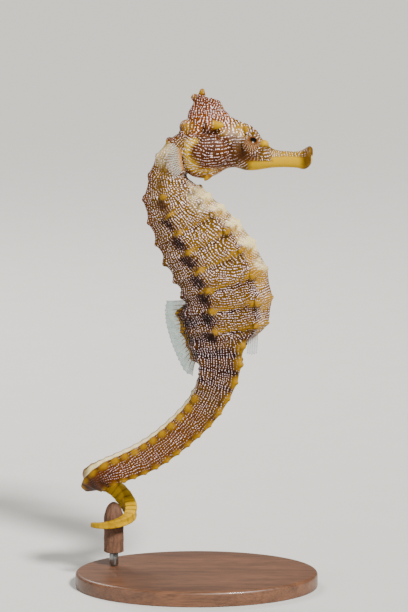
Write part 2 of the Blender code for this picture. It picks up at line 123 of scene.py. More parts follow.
def noise(tree, place, size, detail=2.0, output=0, **more):
    """Noise with lumps of a size in mm, as a number (output 0) or as three (output 1)."""
    inputs = {"Vector": place, "Scale": 1 / (size * MM), "Detail": detail, **more}
    return add(tree, "ShaderNodeTexNoise", inputs).outputs[output]


def dented(tree, height, strength, depth):
    """A normal that dents the surface by up to a depth in mm."""
    inputs = {"Height": height, "Strength": strength, "Distance": depth * MM}
    return add(tree, "ShaderNodeBump", inputs).outputs[0]


def own_place(tree, scale=None):
    """A piece's own coordinates, drawn out along each axis whose scale is under 1."""
    place = add(tree, "ShaderNodeTexCoord").outputs["Object"]
    return add(tree, "ShaderNodeMapping", {"Vector": place, "Scale": scale}).outputs[0] if scale else place


def new_material(name):
    """A material with an empty tree, and its Principled shader already on the output."""
    made = bpy.data.materials.new(name)
    made.use_nodes = True
    tree = made.node_tree
    tree.nodes.clear()
    shader = add(tree, "ShaderNodeBsdfPrincipled")
    add(tree, "ShaderNodeOutputMaterial", {"Surface": shader.outputs[0]})
    return made, tree, shader


def put(name, data):
    """An object in the scene."""
    made = bpy.data.objects.new(name, data)
    bpy.context.scene.collection.objects.link(made)
    return made


def new_object(name, points, faces=(), finish=None, edges=()):
    """A mesh object from points in millimetres."""
    mesh = bpy.data.meshes.new(name)
    mesh.from_pydata((np.asarray(points, float).reshape(-1, 3) * MM).tolist(), list(edges), list(faces))
    mesh.update()
    if finish:
        mesh.materials.append(finish)
    mesh.shade_smooth()
    return put(name, mesh)


def grid_object(name, rows, finish=None):
    """A closed mesh over rows of points, each a loop, with a flat end on the first and the last."""
    count, columns = len(rows), len(rows[0])
    faces = []
    for low in range(0, (count - 1) * columns, columns):
        for j in range(columns):
            k = (j + 1) % columns
            faces.append((low + j, low + k, low + columns + k, low + columns + j))
    faces.append(tuple(range(columns))[::-1])
    faces.append(tuple((count - 1) * columns + j for j in range(columns)))
    return new_object(name, rows, faces, finish)


def evaluated_copy(item, name):
    """The plain mesh that an object's modifiers give, in place of the object."""
    bpy.context.view_layer.update()
    mesh = bpy.data.meshes.new_from_object(item.evaluated_get(bpy.context.evaluated_depsgraph_get()))
    bpy.data.objects.remove(item)
    return put(name, mesh)


def turns(steps):
    """Angles evenly round a circle."""
    return np.arange(steps) * 2 * math.pi / steps


def rows_of(*columns):
    """Rows from columns, where a single number fills its column."""
    return np.column_stack(np.broadcast_arrays(*columns))


def loop_at(angle, z, x_radius, y_radius, middle=(0, 0)):
    """Points round a level ellipse."""
    return rows_of(middle[0] + x_radius * np.cos(angle), middle[1] + y_radius * np.sin(angle), z)


print("helpers: nodes take hex colours, and meshes take rows of points")

# %% [markdown]
# ## Camera, floor and light
# The animal is drawn side on, from a little above, with a long lens, which keeps its proportions true. A pale
# floor and three soft lamps stand in for a small studio: a key from the upper right and front, a weaker fill
# from the left, and a lamp above and behind that catches the tail's upper edge.

# %% Camera
CAMERA_LENS = 158.0  # on a sensor 36 mm high
CAMERA_TARGET = Vector((1.95, 0, 74.8)) * MM
CAMERA_DISTANCE = 698.4 * MM
CAMERA_HEIGHT_ANGLE = math.radians(9)

camera_data = bpy.data.cameras.new("camera")
camera_data.lens = CAMERA_LENS
camera_data.clip_start, camera_data.clip_end = 0.01, 20
camera = put("camera", camera_data)
camera.location = CAMERA_TARGET + CAMERA_DISTANCE * Vector(
    (0, -math.cos(CAMERA_HEIGHT_ANGLE), math.sin(CAMERA_HEIGHT_ANGLE))
)
camera.rotation_euler = (math.radians(90) - CAMERA_HEIGHT_ANGLE, 0, 0)
bpy.context.scene.camera = camera
print("camera at", tuple(round(v, 3) for v in camera.location))

# %% Floor
FLOOR_HALF = 6000.0
FLOOR_LUMPS = 1000 / 60  # sixty to the metre

# Chalky plaster: it scatters light evenly, so shadows lie soft on it and nothing mirrors.
plaster, tree, shader = new_material("matt_plaster_floor")
lumps = noise(tree, own_place(tree), FLOOR_LUMPS)
fill(tree, shader, {"Base Color": tint(tree, lumps, "#C9C8C4", "#CFCECA"), "Roughness": 0.9})
corners = [(x * FLOOR_HALF, y * FLOOR_HALF, 0) for x, y in ((-1, -1), (1, -1), (1, 1), (-1, 1))]
floor = new_object("floor", corners, [(0, 1, 2, 3)], plaster)
print("floor:", 2 * FLOOR_HALF * MM, "m wide")

# %% Lamps
Lamp = namedtuple("Lamp", "name kind place size power colour")
LAMPS = [
    Lamp("key", "SUN", (0.45, -0.72, 0.87), math.radians(10), 6.8, (1.0, 0.97, 0.93)),
    Lamp("fill", "AREA", (-0.6, -0.5, 0.25), 0.6, 1.6, (0.88, 0.94, 1.0)),
    Lamp("rim", "AREA", (-0.3, 0.45, 0.6), 0.3, 4.0, (1.0, 0.98, 0.95)),
]
LAMPS_AIM = Vector((0, 0, 0.08))  # in metres, as the lamps' places are
for lamp in LAMPS:
    light = bpy.data.lights.new(lamp.name, lamp.kind)
    light.energy, light.color = lamp.power, lamp.colour
    setattr(light, "angle" if lamp.kind == "SUN" else "size", lamp.size)
    item = put(lamp.name, light)
    item.location = lamp.place
    item.rotation_euler = (Vector(lamp.place) - LAMPS_AIM).to_track_quat("Z", "Y").to_euler()
world = bpy.data.worlds.new("studio")
world.use_nodes = True
fill(world.node_tree, world.node_tree.nodes["Background"], {"Color": "#E4E1DC", "Strength": 0.4})
bpy.context.scene.world = world
print("lamps:", [lamp.name for lamp in LAMPS])

# %% [markdown]
# ## The measures of the animal
# The solids were swept along one spine, with bony rings standing on it. The skin repeats those same named
# values, so it lies exactly where the solids are, and then samples them more finely and smoothly.

# %% Stations of the body, and of the grip
Station = namedtuple("Station", "x z back belly side")
BODY = [  # x and z of the spine, and how far the skin is from it
    Station(0.1, 118.2, 3.0, 3.0, 3.0),  # inside the head
    Station(-2.7, 116.9, 4.0, 4.4, 3.4),
    Station(-5.3, 114.3, 4.2, 4.8, 3.7),  # ring 1, on the nape
    Station(-7.7, 110.6, 4.2, 5.5, 4.1),
    Station(-8.3, 107.1, 4.8, 7.5, 4.6),
    Station(-7.7, 103.5, 6.3, 9.5, 5.2),  # ring 4, the shoulder
    Station(-5.9, 99.0, 7.0, 10.8, 5.8),
    Station(-1.2, 90.6, 8.3, 13.8, 6.7),  # ring 7
    Station(3.8, 80.3, 8.0, 15.3, 7.2),
    Station(5.1, 74.9, 8.0, 14.9, 6.9),  # ring 10, where the dorsal fin begins
    Station(5.8, 69.8, 7.8, 13.3, 6.3),
    Station(6.15, 67.0, 7.5, 11.2, 5.8),  # the vent, where the keel ends
    Station(6.3, 65.2, 7.1, 7.6, 5.3),
    Station(6.4, 63.3, 6.5, 6.6, 5.0),  # first ring of the tail
    Station(5.5, 55.3, 5.0, 5.0, 4.6),
    Station(2.0, 48.2, 4.4, 4.4, 4.2),
    Station(-3.6, 42.1, 4.1, 4.0, 4.0),
    Station(-13.0, 35.1, 3.7, 3.9, 3.8),
    Station(-22.0, 31.2, 3.4, 3.6, 3.6),  # over the twig
]
VENT = 11  # its place in that list
Grip = namedtuple("Grip", "turn height reach thick side")
COIL = [  # degrees round the twig, and the spine's height and distance from its middle
    Grip(0, 31.2, 5.3, 3.5, 3.6),
    Grip(45, 29.1, 5.3, 3.1, 3.3),
    Grip(90, 27.2, 5.4, 3.0, 2.8),
    Grip(150, 25.6, 5.1, 2.5, 2.4),
    Grip(190, 23.6, 5.0, 2.1, 2.05),
    Grip(235, 19.9, 4.8, 1.8, 1.7),
    Grip(285, 18.0, 4.6, 1.5, 1.4),
    Grip(360, 16.4, 4.5, 1.15, 1.1),
    Grip(435, 15.5, 5.6, 0.75, 0.7),
]
TRUNK_RINGS, TAIL_RINGS = 11, 36
COIL_X, COIL_Y = -22.0, 5.3
# The right half of each section: corners across and up, in shares of the side and of the back or belly.
TRUNK_SECTION = [
    (0, 0.93), (0.45, 1), (0.8, 0.62), (1, 0.12), (0.97, -0.35), (0.8, -0.74), (0.42, -0.9), (0, -1),
]
TAIL_SECTION = [
    (0, 0.9), (0.84, 1), (0.95, 0.5), (0.98, 0), (0.95, -0.5), (0.84, -1), (0.42, -0.93), (0, -0.9),
]
# Corners count from 0 on the middle of the back to 7 on the keel, and on up the left side to 14.
AROUND = 14
UPPER, SIDE, LOWER, KEEL = 1, 3, 5, 7  # the corners that are ridges
print("stations:", len(BODY), "and", len(COIL), "round the twig")


# %% The spine
def eased(at, places, values):
    """A smooth curve through values at places, with each slope taken from the neighbours."""
    places, values = np.asarray(places, float), np.asarray(values, float)
    slopes = np.gradient(values, places)
    low = np.clip(np.searchsorted(places, at) - 1, 0, len(places) - 2)
    step = places[low + 1] - places[low]
    t = (at - places[low]) / step
    start = (1 + 2 * t) * (1 - t) ** 2 * values[low] + t * (1 - t) ** 2 * step * slopes[low]
    end = t * t * (3 - 2 * t) * values[low + 1] - t * t * (1 - t) * step * slopes[low + 1]
    return start + end


def rise(low, high, at):
    """0 up to low, 1 from high on, and an eased slope between. With low over high it falls instead."""
    t = np.clip((at - low) / (high - low), 0, 1)
    return t * t * (3 - 2 * t)


def bell(at, middle, width):
    """1 at the middle, falling smoothly to nearly nothing at two widths away."""
    return np.exp(-(((at - middle) / width) ** 2))


def unit(rows):
    """Directions of length 1."""
    return rows / np.linalg.norm(rows, axis=-1, keepdims=True)


def dot(rows, others):
    """How far each row reaches along the other, as a column."""
    return np.sum(rows * others, axis=1, keepdims=True)


class Spine:
    """The line through the body, with its length from the head, its frame and the skin's distances."""

    SAMPLES = 400
    ROUNDING = 9  # samples on each side that soften the line
    PASSES = 3

    def __init__(self):
        down = self.straight_part()
        rows = np.vstack([down[:-1], self.coiled_part()])
        for _ in range(self.PASSES):
            rows[:, :3] = self.rounded(rows[:, :3])
        steps = np.linalg.norm(np.diff(rows[:, :3], axis=0), axis=1)
        self.length = np.concatenate([[0], np.cumsum(steps)])
        self.place, self.sizes, self.roll = rows[:, :3], rows[:, 3:6], rows[:, 6:]
        self.along = unit(np.gradient(self.place, self.length, axis=0))
        self.vent = self.length[np.argmin(np.abs(down[:, 2] - BODY[VENT].z))]

    def straight_part(self):
        """Rows of place, back, belly, side and roll from the head down to the twig."""
        table = np.array(BODY)
        chord = np.concatenate([[0], np.cumsum(np.hypot(*np.diff(table[:, :2], axis=0).T))])
        at = np.linspace(0, chord[-1], self.SAMPLES)
        x, z, back, belly, side = (eased(at, chord, column) for column in table.T)
        return rows_of(x, 0, z, back, belly, side, 0)

    def coiled_part(self):
        """The same rows for the grip, where the back rolls outwards, away from the twig."""
        table = np.array(COIL, float)
        turn = np.linspace(0, table[-1, 0], self.SAMPLES)
        height, reach, thick, side = (eased(turn, table[:, 0], column) for column in table[:, 1:].T)
        angle = np.radians(turn)
        x = COIL_X - reach * np.sin(angle)
        y = COIL_Y - reach * np.cos(angle)
        roll = rise(-10, 170, turn) - rise(-10, 170, 0)
        return rows_of(x, y, height, thick, thick, side, roll)

    def rounded(self, line):
        """A line softened by a running mean, with its ends kept."""
        wide = np.pad(line, ((self.ROUNDING, self.ROUNDING), (0, 0)), mode="edge")
        kernel = np.ones(2 * self.ROUNDING + 1) / (2 * self.ROUNDING + 1)
        soft = np.column_stack([np.convolve(column, kernel, "valid") for column in wide.T])
        inner = np.minimum(np.arange(len(line)), np.arange(len(line))[::-1]) / self.ROUNDING
        share = np.clip(inner, 0, 1)[:, None]
        return line * (1 - share) + soft * share

    def read(self, s, table):
        """Rows of a table at the lengths s."""
        return np.column_stack([np.interp(s, self.length, column) for column in table.T])

    def at(self, s):
        """Rows of place, along, back and right-hand directions, and of the three distances."""
        s = np.atleast_1d(s)
        place, sizes, roll = (self.read(s, table) for table in (self.place, self.sizes, self.roll))
        along = unit(self.read(s, self.along))
        in_plane = unit(rows_of(along[:, 2], 0, -along[:, 0]))
        outward = unit(rows_of(place[:, 0] - COIL_X, place[:, 1] - COIL_Y, 0))
        back = in_plane * (1 - roll) + outward * roll
        back = unit(back - along * dot(back, along))
        return place, along, back, np.cross(back, along), sizes


FIRST_RING, TIP_GAP = 5.4, 0.8  # from the head, and from the last ring to the tail's end
TRUNK_GAP, TAIL_GAP = 2.0, 2.4  # from the trunk's last ring to the vent, and on to the tail's first
FIRST_STEP, STEP_GROWTH = 3.8, 1.8  # between the trunk's rings, before they are fitted to its length
TAIL_SHORTENING = 0.966  # each tail ring's length as a share of the one before


def ring_places(spine):
    """Lengths of all the rings: the trunk's widen to the belly, and the tail's shorten to the tip."""
    trunk_steps = FIRST_STEP + STEP_GROWTH * rise(0, 6, np.arange(TRUNK_RINGS - 1))
    trunk_steps *= (spine.vent - TRUNK_GAP - FIRST_RING) / trunk_steps.sum()
    tail_start = spine.vent + TAIL_GAP
    shares = TAIL_SHORTENING ** np.arange(TAIL_RINGS - 1)
    tail_steps = shares * (spine.length[-1] - TIP_GAP - tail_start) / shares.sum()
    trunk = FIRST_RING + np.concatenate([[0], np.cumsum(trunk_steps)])
    tail = tail_start + np.concatenate([[0], np.cumsum(tail_steps)])
    return np.concatenate([trunk, tail])


SPINE = Spine()
RINGS = ring_places(SPINE)
print("spine:", round(SPINE.length[-1], 1), "mm long, with", len(RINGS), "rings")

# %% [markdown]
# ## The armoured body
# Each ring is a hoop of bony plates that meet in ridges. The skin over it sinks a little between two hoops.
# The section is a closed curve through the ridges, so the body is a grid: round the section one way, and
# along the spine the other. A grid also gives each spot two coordinates, which the markings will need later.

# %% Body surface
SECTION_STEPS = 112  # round the body
LENGTH_STEP = 0.3
CURVED = 0.65  # 0 keeps the section's sides straight between its corners, and 1 makes them round
VALLEY = 0.1  # how far the skin sinks between two rings, as a share of the radius
HOOP_POWER = 1.7  # over 1, the skin between two rings is hollow and each ring stands up as an edge
FULL_SIDE = 6.0  # the body's half width where ridges and knobs have the heights given here
RIDGE_HEIGHT = {UPPER: 0.18, SIDE: 0.2, LOWER: 0.2, KEEL: 0.15}
TIP_SHARES, TIP_LENGTH = (0.35, 0.7, 0.95), 0.7  # the dome that closes the tail
NECK_NUMBER = 1 - RINGS[0] / 4  # what stands for a ring's number on the neck, which has none
DORSAL_START, DORSAL_END = RINGS[9], RINGS[11]  # the tenth ring, and the tail's first
DORSAL_RAYS = 18
FIN_PAD_HEIGHT, FIN_PAD_LOSS = 3.5, 0.2  # of the dorsal fin's fleshy keel, and the share lost along it
FIN_PAD_RISE, FIN_PAD_FALL = (-3.6, -0.4), (4.6, 5.8)  # where it rises and ends, from the fin's two rings


def ring_number(s):
    """1 on the first ring, 2 on the second, and shares between."""
    return np.interp(s, RINGS, np.arange(1, len(RINGS) + 1), left=NECK_NUMBER)


def hoop(s):
    """1 on a ring and 0 between two, and 0 inside the head."""
    number = ring_number(s)
    return (1 - 2 * np.abs(number - np.round(number))) ** HOOP_POWER * rise(2.0, 6.0, s)


def tail_share(s):
    """0 on the trunk and 1 on the tail."""
    return rise(SPINE.vent - 3, SPINE.vent + 9, s)


def ridge_strength(ring, ridge):
    """How far a ridge stands out along the body: the side and keel ridges end where the tail begins."""
    tail = rise(TRUNK_RINGS + 0.5, TRUNK_RINGS + 4, ring)
    if ridge == KEEL:
        return (1 - tail) * rise(2.5, 5, ring)
    if ridge == SIDE:
        return 1 - tail
    return 1 - 0.35 * tail if ridge == UPPER else 1 - 0.45 * tail


def fin_pad(s):
    """Height of the dorsal fin's keel: it rises over a ring and ends short below the vent."""
    start = rise(*(DORSAL_START + past for past in FIN_PAD_RISE), s)
    end = rise(*(DORSAL_END + past for past in FIN_PAD_FALL), s)
    return FIN_PAD_HEIGHT * start * (1 - FIN_PAD_LOSS * rise(DORSAL_START, DORSAL_END, s)) * (1 - end)


def section_curve(s, around):
    """Skin points in the plane across the spine: rows for lengths s, columns for places around."""
    tail = tail_share(s)[:, None, None]
    half = np.array(TRUNK_SECTION)[None] * (1 - tail) + np.array(TAIL_SECTION)[None] * tail
    sizes = SPINE.at(s)[-1]
    depth = np.where(half[:, :, 1] > 0, sizes[:, :1], sizes[:, 1:2])
    scaled = np.stack([half[:, :, 0] * sizes[:, 2:3], half[:, :, 1] * depth], axis=2)
    mirrored = scaled[:, -2:0:-1] * np.array([-1, 1])
    loop = np.concatenate([scaled, mirrored], axis=1)
    low = np.floor(around).astype(int)
    t = (around - low)[None, :, None]
    before, here, after, beyond = (loop[:, (low + k) % AROUND] for k in (-1, 0, 1, 2))
    # A Catmull-Rom curve: it passes through each corner, level with the line between that one's neighbours.
    curve = 0.5 * (
        2 * here
        + (after - before) * t
        + (2 * before - 5 * here + 4 * after - beyond) * t**2
        + (3 * here - before - 3 * after + beyond) * t**3
    )
    corner = here * (1 - t) + after * t
    return curve * CURVED + corner * (1 - CURVED)


def body_grid(s, around):
    """Places on the skin for every pair of a length and a place around."""
    place, _, back, right, sizes = SPINE.at(s)
    flat = section_curve(s, around)
    folded = np.minimum(around, AROUND - around)[None]
    sunk = VALLEY * (1 - 0.5 * tail_share(s)) * (1 - hoop(s))
    fullness = 1 - sunk[:, None] * (1 - 0.6 * rise(5.5, 7, folded))
    reach = np.linalg.norm(flat, axis=2)
    ring = ring_number(s)[:, None]
    ridges = RIDGE_HEIGHT.items()
    lift = sum(height * bell(folded, ridge, 0.3) * ridge_strength(ring, ridge) for ridge, height in ridges)
    lift = lift * (sizes[:, 2] / FULL_SIDE)[:, None] + bell(folded, 0, 0.55) * fin_pad(s)[:, None]
    flat = flat * (fullness + lift / reach)[:, :, None]
    return place[:, None] + right[:, None] * flat[:, :, :1] + back[:, None] * flat[:, :, 1:]


body_s = np.append(np.arange(0, SPINE.length[-1], LENGTH_STEP), SPINE.length[-1])
body_around = np.arange(SECTION_STEPS) * AROUND / SECTION_STEPS
body_points = body_grid(body_s, body_around)
tail_end = SPINE.place[-1]
dome = [
    tail_end + (body_points[-1] - tail_end) * math.sqrt(1 - share * share)
    + SPINE.along[-1] * share * TIP_LENGTH
    for share in TIP_SHARES
]
body = grid_object("body_surface", np.concatenate([body_points, dome]))
print("body surface:", len(body.data.vertices), "points")

# %% [markdown]
# ## Knobs where rings and ridges cross
# Every crossing carries a blunt knob, larger on each third ring. They repeat by rule, so Geometry Nodes set
# them out: one vertex marks each crossing, and the tree puts a small rounded cone there, turned to point
# outwards.

# %% Where the knobs go
LARGE_EVERY = 3  # rings
LARGE_SHARE, NAPE_SHARE = 1.5, 3.0  # heights of the large knobs and of the nape's two, against the others
KNOB_HEIGHT = {UPPER: 0.17, SIDE: 0.38, LOWER: 0.4, KEEL: 0.16}
LEAST_KNOB = 0.04
KNOB_SUNK = 0.7  # each knob starts this far inside the body
KNOB_RADIUS, KNOB_WIDENING = 0.45, 1.1  # of the lowest knobs, and what each mm of height adds
Knob = namedtuple("Knob", "place outward radius height")


def knob_height(ring, ridge):
    """How far a knob stands out of the skin."""
    side = float(np.interp(RINGS[ring - 1], SPINE.length, SPINE.sizes[:, 2]))
    large = LARGE_SHARE if (ring - 1) % LARGE_EVERY == 0 and ridge != KEEL else 1.0
    if ring > TRUNK_RINGS:
        large = 1 + (large - 1) * (1 - rise(16, 30, ring)) * 0.6
    if ring == 1 and ridge == UPPER:
        large = NAPE_SHARE
    fade = 1 - 0.62 * rise(12, 15, ring) - 0.15 * rise(22, 30, ring)
    size = KNOB_HEIGHT[ridge] * large * (0.15 + 0.85 * side / FULL_SIDE)
    return size * fade * float(ridge_strength(ring, ridge))


def knobs():
    """Every knob that is high enough to see, on both sides of the body."""
    found = []
    for ring, s in enumerate(RINGS, start=1):
        for ridge in (UPPER, SIDE, LOWER, KEEL):
            height = knob_height(ring, ridge)
            if height < LEAST_KNOB:
                continue
            for around in {ridge, AROUND - ridge}:
                spot = body_grid(np.array([s]), np.array([float(around)]))[0, 0]
                outward = spot - SPINE.at(s)[0][0]
                outward = outward / np.linalg.norm(outward)
                found.append(Knob(spot, outward, KNOB_RADIUS + KNOB_WIDENING * height, height))
    return found


KNOBS = knobs()
print("knobs:", len(KNOBS))


# %% Knob tree
def new_tree(name, numbers):
    """An empty Geometry Nodes tree with a mesh input and output, and named inputs."""
    tree = bpy.data.node_groups.new(name, "GeometryNodeTree")
    tree.interface.new_socket("Mesh", in_out="INPUT", socket_type="NodeSocketGeometry")
    tree.interface.new_socket("Mesh", in_out="OUTPUT", socket_type="NodeSocketGeometry")
    for label, kind in {**numbers, "Finish": "Material"}.items():
        tree.interface.new_socket(label, in_out="INPUT", socket_type="NodeSocket" + kind)
    return tree, add(tree, "NodeGroupInput"), add(tree, "NodeGroupOutput")


def end_tree(tree, geometry, finish, sink):
    """Makes the copies real and gives them their finish."""
    real = add(tree, "GeometryNodeRealizeInstances", {"Geometry": geometry}).outputs[0]
    finished = add(tree, "GeometryNodeSetMaterial", {"Geometry": real, "Material": finish})
    tree.links.new(finished.outputs[0], sink.inputs[0])


def grown(item, name, tree, inputs):
    """The plain mesh that a tree makes of an item. Each named input is set by its socket's identifier."""
    step = item.modifiers.new(name, "NODES")
    step.node_group = tree
    for socket in tree.interface.items_tree:
        if socket.in_out == "INPUT" and socket.name in inputs:
            step[socket.identifier] = inputs[socket.name]
    return evaluated_copy(item, name)


def store(mesh, name, values):
    """Stores a number or a vector for each vertex of a mesh, for its tree or material to read."""
    kind, part = ("FLOAT_VECTOR", "vector") if np.ndim(values) == 2 else ("FLOAT", "value")
    layer = mesh.attributes.new(name, kind, "POINT")
    layer.data.foreach_set(part, np.asarray(values, np.float32).ravel())


def stored(tree, name):
    """Reads a stored vector in a Geometry Nodes tree."""
    node = add(tree, "GeometryNodeInputNamedAttribute", {"Name": name}, data_type="FLOAT_VECTOR")
    return node.outputs["Attribute"]


CONE_FOOT, CONE_DEPTH = 1.6, 1.1  # of the cone before each copy is scaled to its knob
knob_tree, source, sink = new_tree("knobs_on_crossings", {"Blunt": "Float", "Sides": "Int"})
cone = add(knob_tree, "GeometryNodeMeshCone", {
    "Vertices": source.outputs["Sides"],
    "Side Segments": 3,
    "Radius Top": source.outputs["Blunt"],
    "Radius Bottom": CONE_FOOT,
    "Depth": CONE_DEPTH,
})
rounded = add(knob_tree, "GeometryNodeSubdivisionSurface", {"Mesh": cone.outputs["Mesh"], "Level": 1})
outward = stored(knob_tree, "outward")
turned = add(knob_tree, "FunctionNodeAlignRotationToVector", {"Vector": outward}, axis="Z")
placed = add(knob_tree, "GeometryNodeInstanceOnPoints", {
    "Points": source.outputs["Mesh"],
    "Instance": rounded.outputs[0],
    "Rotation": turned.outputs[0],
    "Scale": stored(knob_tree, "size"),
})
end_tree(knob_tree, placed.outputs[0], source.outputs["Finish"], sink)

bone = bpy.data.materials.new("knob_core")  # never seen: the skin closes over it
marks = new_object("knob_marks", [knob.place - knob.outward * KNOB_SUNK for knob in KNOBS])
scales = [np.array((knob.radius, knob.radius, knob.height + KNOB_SUNK)) * MM for knob in KNOBS]
store(marks.data, "size", scales)
store(marks.data, "outward", [knob.outward for knob in KNOBS])
knob_shapes = grown(marks, "knob_shapes", knob_tree, {"Blunt": 0.55, "Sides": 10, "Finish": bone})
print("knob shapes:", len(knob_shapes.data.polygons), "faces")

# %% [markdown]
# ## The head
# The head is a horse's in outline only: a tube snout with small lips, a narrow forehead, round cheeks under
# the gill covers, and a bony coronet. It is a second grid, lofted from the mouth back. The gill covers are
# raised ovals with a groove round them, and the spines are blunt cones sunk in the bone.

# %% Head slices
Slice = namedtuple("Slice", "x top bottom wide side crown chin")
HEAD = [  # the widest part is at the height wide, and crown and chin say how much it narrows to each
    Slice(30.0, 115.8, 112.9, 114.4, 1.0, 0.0, 0.0),  # rim of the mouth
    Slice(29.6, 116.4, 112.0, 114.2, 1.5, 0.0, 0.0),
    Slice(28.8, 116.4, 111.0, 113.8, 1.9, 0.0, 0.0),
    Slice(27.6, 115.7, 110.5, 113.4, 1.9, 0.0, 0.0),
    Slice(26.3, 115.2, 110.8, 113.3, 1.7, 0.0, 0.0),
    Slice(23.8, 115.2, 111.0, 113.3, 1.6, 0.0, 0.0),
    Slice(21.2, 115.4, 111.0, 113.3, 1.7, 0.0, 0.0),
    Slice(19.4, 116.0, 110.9, 113.5, 2.0, 0.1, 0.0),
    Slice(17.4, 117.8, 110.6, 113.9, 2.5, 0.3, 0.1),
    Slice(15.5, 120.2, 110.3, 114.6, 3.1, 0.35, 0.15),
    Slice(13.8, 121.6, 110.2, 115.3, 3.6, 0.35, 0.2),
    Slice(12.1, 122.2, 110.4, 115.6, 3.9, 0.35, 0.25),
    Slice(10.0, 123.2, 111.0, 115.7, 4.3, 0.35, 0.3),
    Slice(7.9, 124.1, 110.7, 115.6, 4.8, 0.4, 0.3),
    Slice(5.3, 124.5, 109.2, 115.3, 5.4, 0.45, 0.3),
    Slice(2.7, 124.7, 108.2, 115.0, 5.8, 0.45, 0.3),
    Slice(0.1, 124.7, 108.4, 114.8, 5.8, 0.45, 0.3),
    Slice(-1.7, 124.0, 109.1, 114.8, 5.3, 0.45, 0.3),
    Slice(-2.7, 121.2, 110.1, 114.7, 4.7, 0.4, 0.2),
    Slice(-3.5, 118.6, 111.5, 114.8, 3.7, 0.3, 0.1),
    Slice(-4.0, 116.6, 113.0, 114.8, 2.1, 0.2, 0.0),  # hind edge of the gill cover
]
SLICE_STEP = 0.25
MOUTH_DEPTH, MOUTH_SHARE = 1.4, 0.55
MIDDLE_Z = 115.0  # the height that the head's relief points away from
GILL_X, GILL_Z, GILL_RADII = 2.4, 115.1, (5.9, 4.8)
GILL_HEIGHT, GILL_GROOVE, CREST_HEIGHT = 0.4, 0.35, 0.35
EYE = Vector((14.0, 2.9, 116.9))
EYE_RADIUS = 2.45
HEAD_STEPS = 96


def head_loop(row, shrink=1.0):
    """Points round one slice of the head."""
    cross = Slice(*row)
    angle = turns(HEAD_STEPS)
    up, across = np.sin(angle), np.cos(angle)
    narrow = 1 - np.where(up > 0, cross.crown, cross.chin) * np.abs(up) ** 1.2
    height = np.where(up > 0, cross.top - cross.wide, cross.wide - cross.bottom)
    y = cross.side * np.sign(across) * np.abs(across) ** 0.9 * narrow * shrink
    return rows_of(cross.x, y, cross.wide + height * up * shrink)


def gill_place(points):
    """How far out each point is in the gill cover's oval: 0 in its middle and 1 on its edge."""
    return np.hypot((points[..., 0] - GILL_X) / GILL_RADII[0], (points[..., 2] - GILL_Z) / GILL_RADII[1])


def head_relief(points):
    """Raises the gill covers, grooves their edges, and gives the forehead its middle ridge."""
    x, y, z = np.moveaxis(points, -1, 0)
    out = unit(np.stack([0 * x, y, z - MIDDLE_Z], axis=-1) + 1e-6)
    oval = gill_place(points)
    to_side = rise(1.5, 3.5, np.abs(y))
    lift = (GILL_HEIGHT * (1 - rise(0.86, 1.0, oval)) - GILL_GROOVE * bell(oval, 1.07, 0.07)) * to_side
    crest = bell(y, 0, 0.7) * rise(118, 120, z)
    lift += CREST_HEIGHT * crest * rise(6, 9, x)
    return points + out * lift[..., None]


table = np.array(HEAD)[::-1]
head_x = np.append(np.arange(table[0, 0], table[-1, 0], SLICE_STEP), table[-1, 0])[::-1]
columns = [eased(head_x, table[:, 0], column) for column in table.T]
head_rows = head_relief(np.array([head_loop(row) for row in zip(*columns)]))
rim = HEAD[0]
mouth = [
    head_loop(rim._replace(x=rim.x - MOUTH_DEPTH * (1 - share)), shrink=MOUTH_SHARE * (0.7 + 0.3 * share))
    for share in (0, 0.5, 1)
]
head_points = np.array([*mouth, *head_rows])
head = grid_object("head_surface", head_points)
print("head surface:", len(head.data.vertices), "points")

# %% Coronet, knobs and spines of the head
Tier = namedtuple("Tier", "back_z front_z back front side")
CORONET = [
    Tier(122.4, 122.4, -2.2, 8.8, 3.1),
    Tier(124.9, 124.6, -2.2, 8.5, 2.8),
    Tier(126.6, 125.6, -1.3, 7.4, 2.3),
    Tier(128.0, 126.8, -0.6, 6.8, 2.0),
    Tier(129.2, 127.7, -0.4, 6.3, 1.9),
    Tier(129.9, 128.3, -0.7, 5.9, 1.95),
]
CORONET_STEPS, CORONET_LOOPS, DISH_DEPTH = 48, 26, 0.6
Spike = namedtuple("Spike", "foot lean length radius sunk tip")
SPIKES = [
    Spike((17.4, 0, 116.9), (0.8, 0, 0.5), 1.2, 1.5, 0.6, 0.5),  # nose
    Spike((-0.2, 0, 128.9), (-0.8, 0, 0.5), 1.2, 1.4, 1.0, 0.5),  # coronet, behind and in front
    Spike((5.6, 0, 127.6), (0.7, 0, 0.6), 0.7, 1.0, 1.0, 0.45),
]
PAIRED_SPIKES = [
    Spike((12.6, 2.1, 121.3), (0.1, 0.35, 1), 0.7, 0.75, 0.6, 0.4),  # brow
    Spike((3.6, 4.3, 122.4), (1.0, 0.22, -0.03), 3.5, 1.5, 1.0, 0.42),  # horn
    Spike((3.0, 2.2, 108.9), (-0.6, 0.35, -0.7), 1.5, 0.95, 1.2, 0.35),  # cheek
    Spike((1.4, 0.7, 129.4), (0.05, 0.15, 1.0), 1.9, 1.15, 1.0, 0.45),  # coronet
    Spike((4.0, 1.3, 128.1), (0.15, 0.5, 0.8), 0.8, 1.0, 1.0, 0.45),
    Spike((-3.0, 2.1, 122.0), (-0.5, 0.8, 0.5), 0.6, 0.9, 0.6, 0.5),  # nape
    Spike((-3.7, 1.6, 119.9), (-0.8, 0.6, -0.2), 0.8, 1.1, 0.6, 0.5),
    Spike((-1.2, 2.4, 120.2), (0.1, 1.0, -0.1), 0.4, 0.9, 0.6, 0.5),
]
SPIKE_SIDES = 14
NAPE_KNOB = (-2.5, 0, 121.4), (1.9, 2.6, 2.0)
ORBIT_INSET, ORBIT_RADII = 0.5, (3.3, 2.6, 3.2)


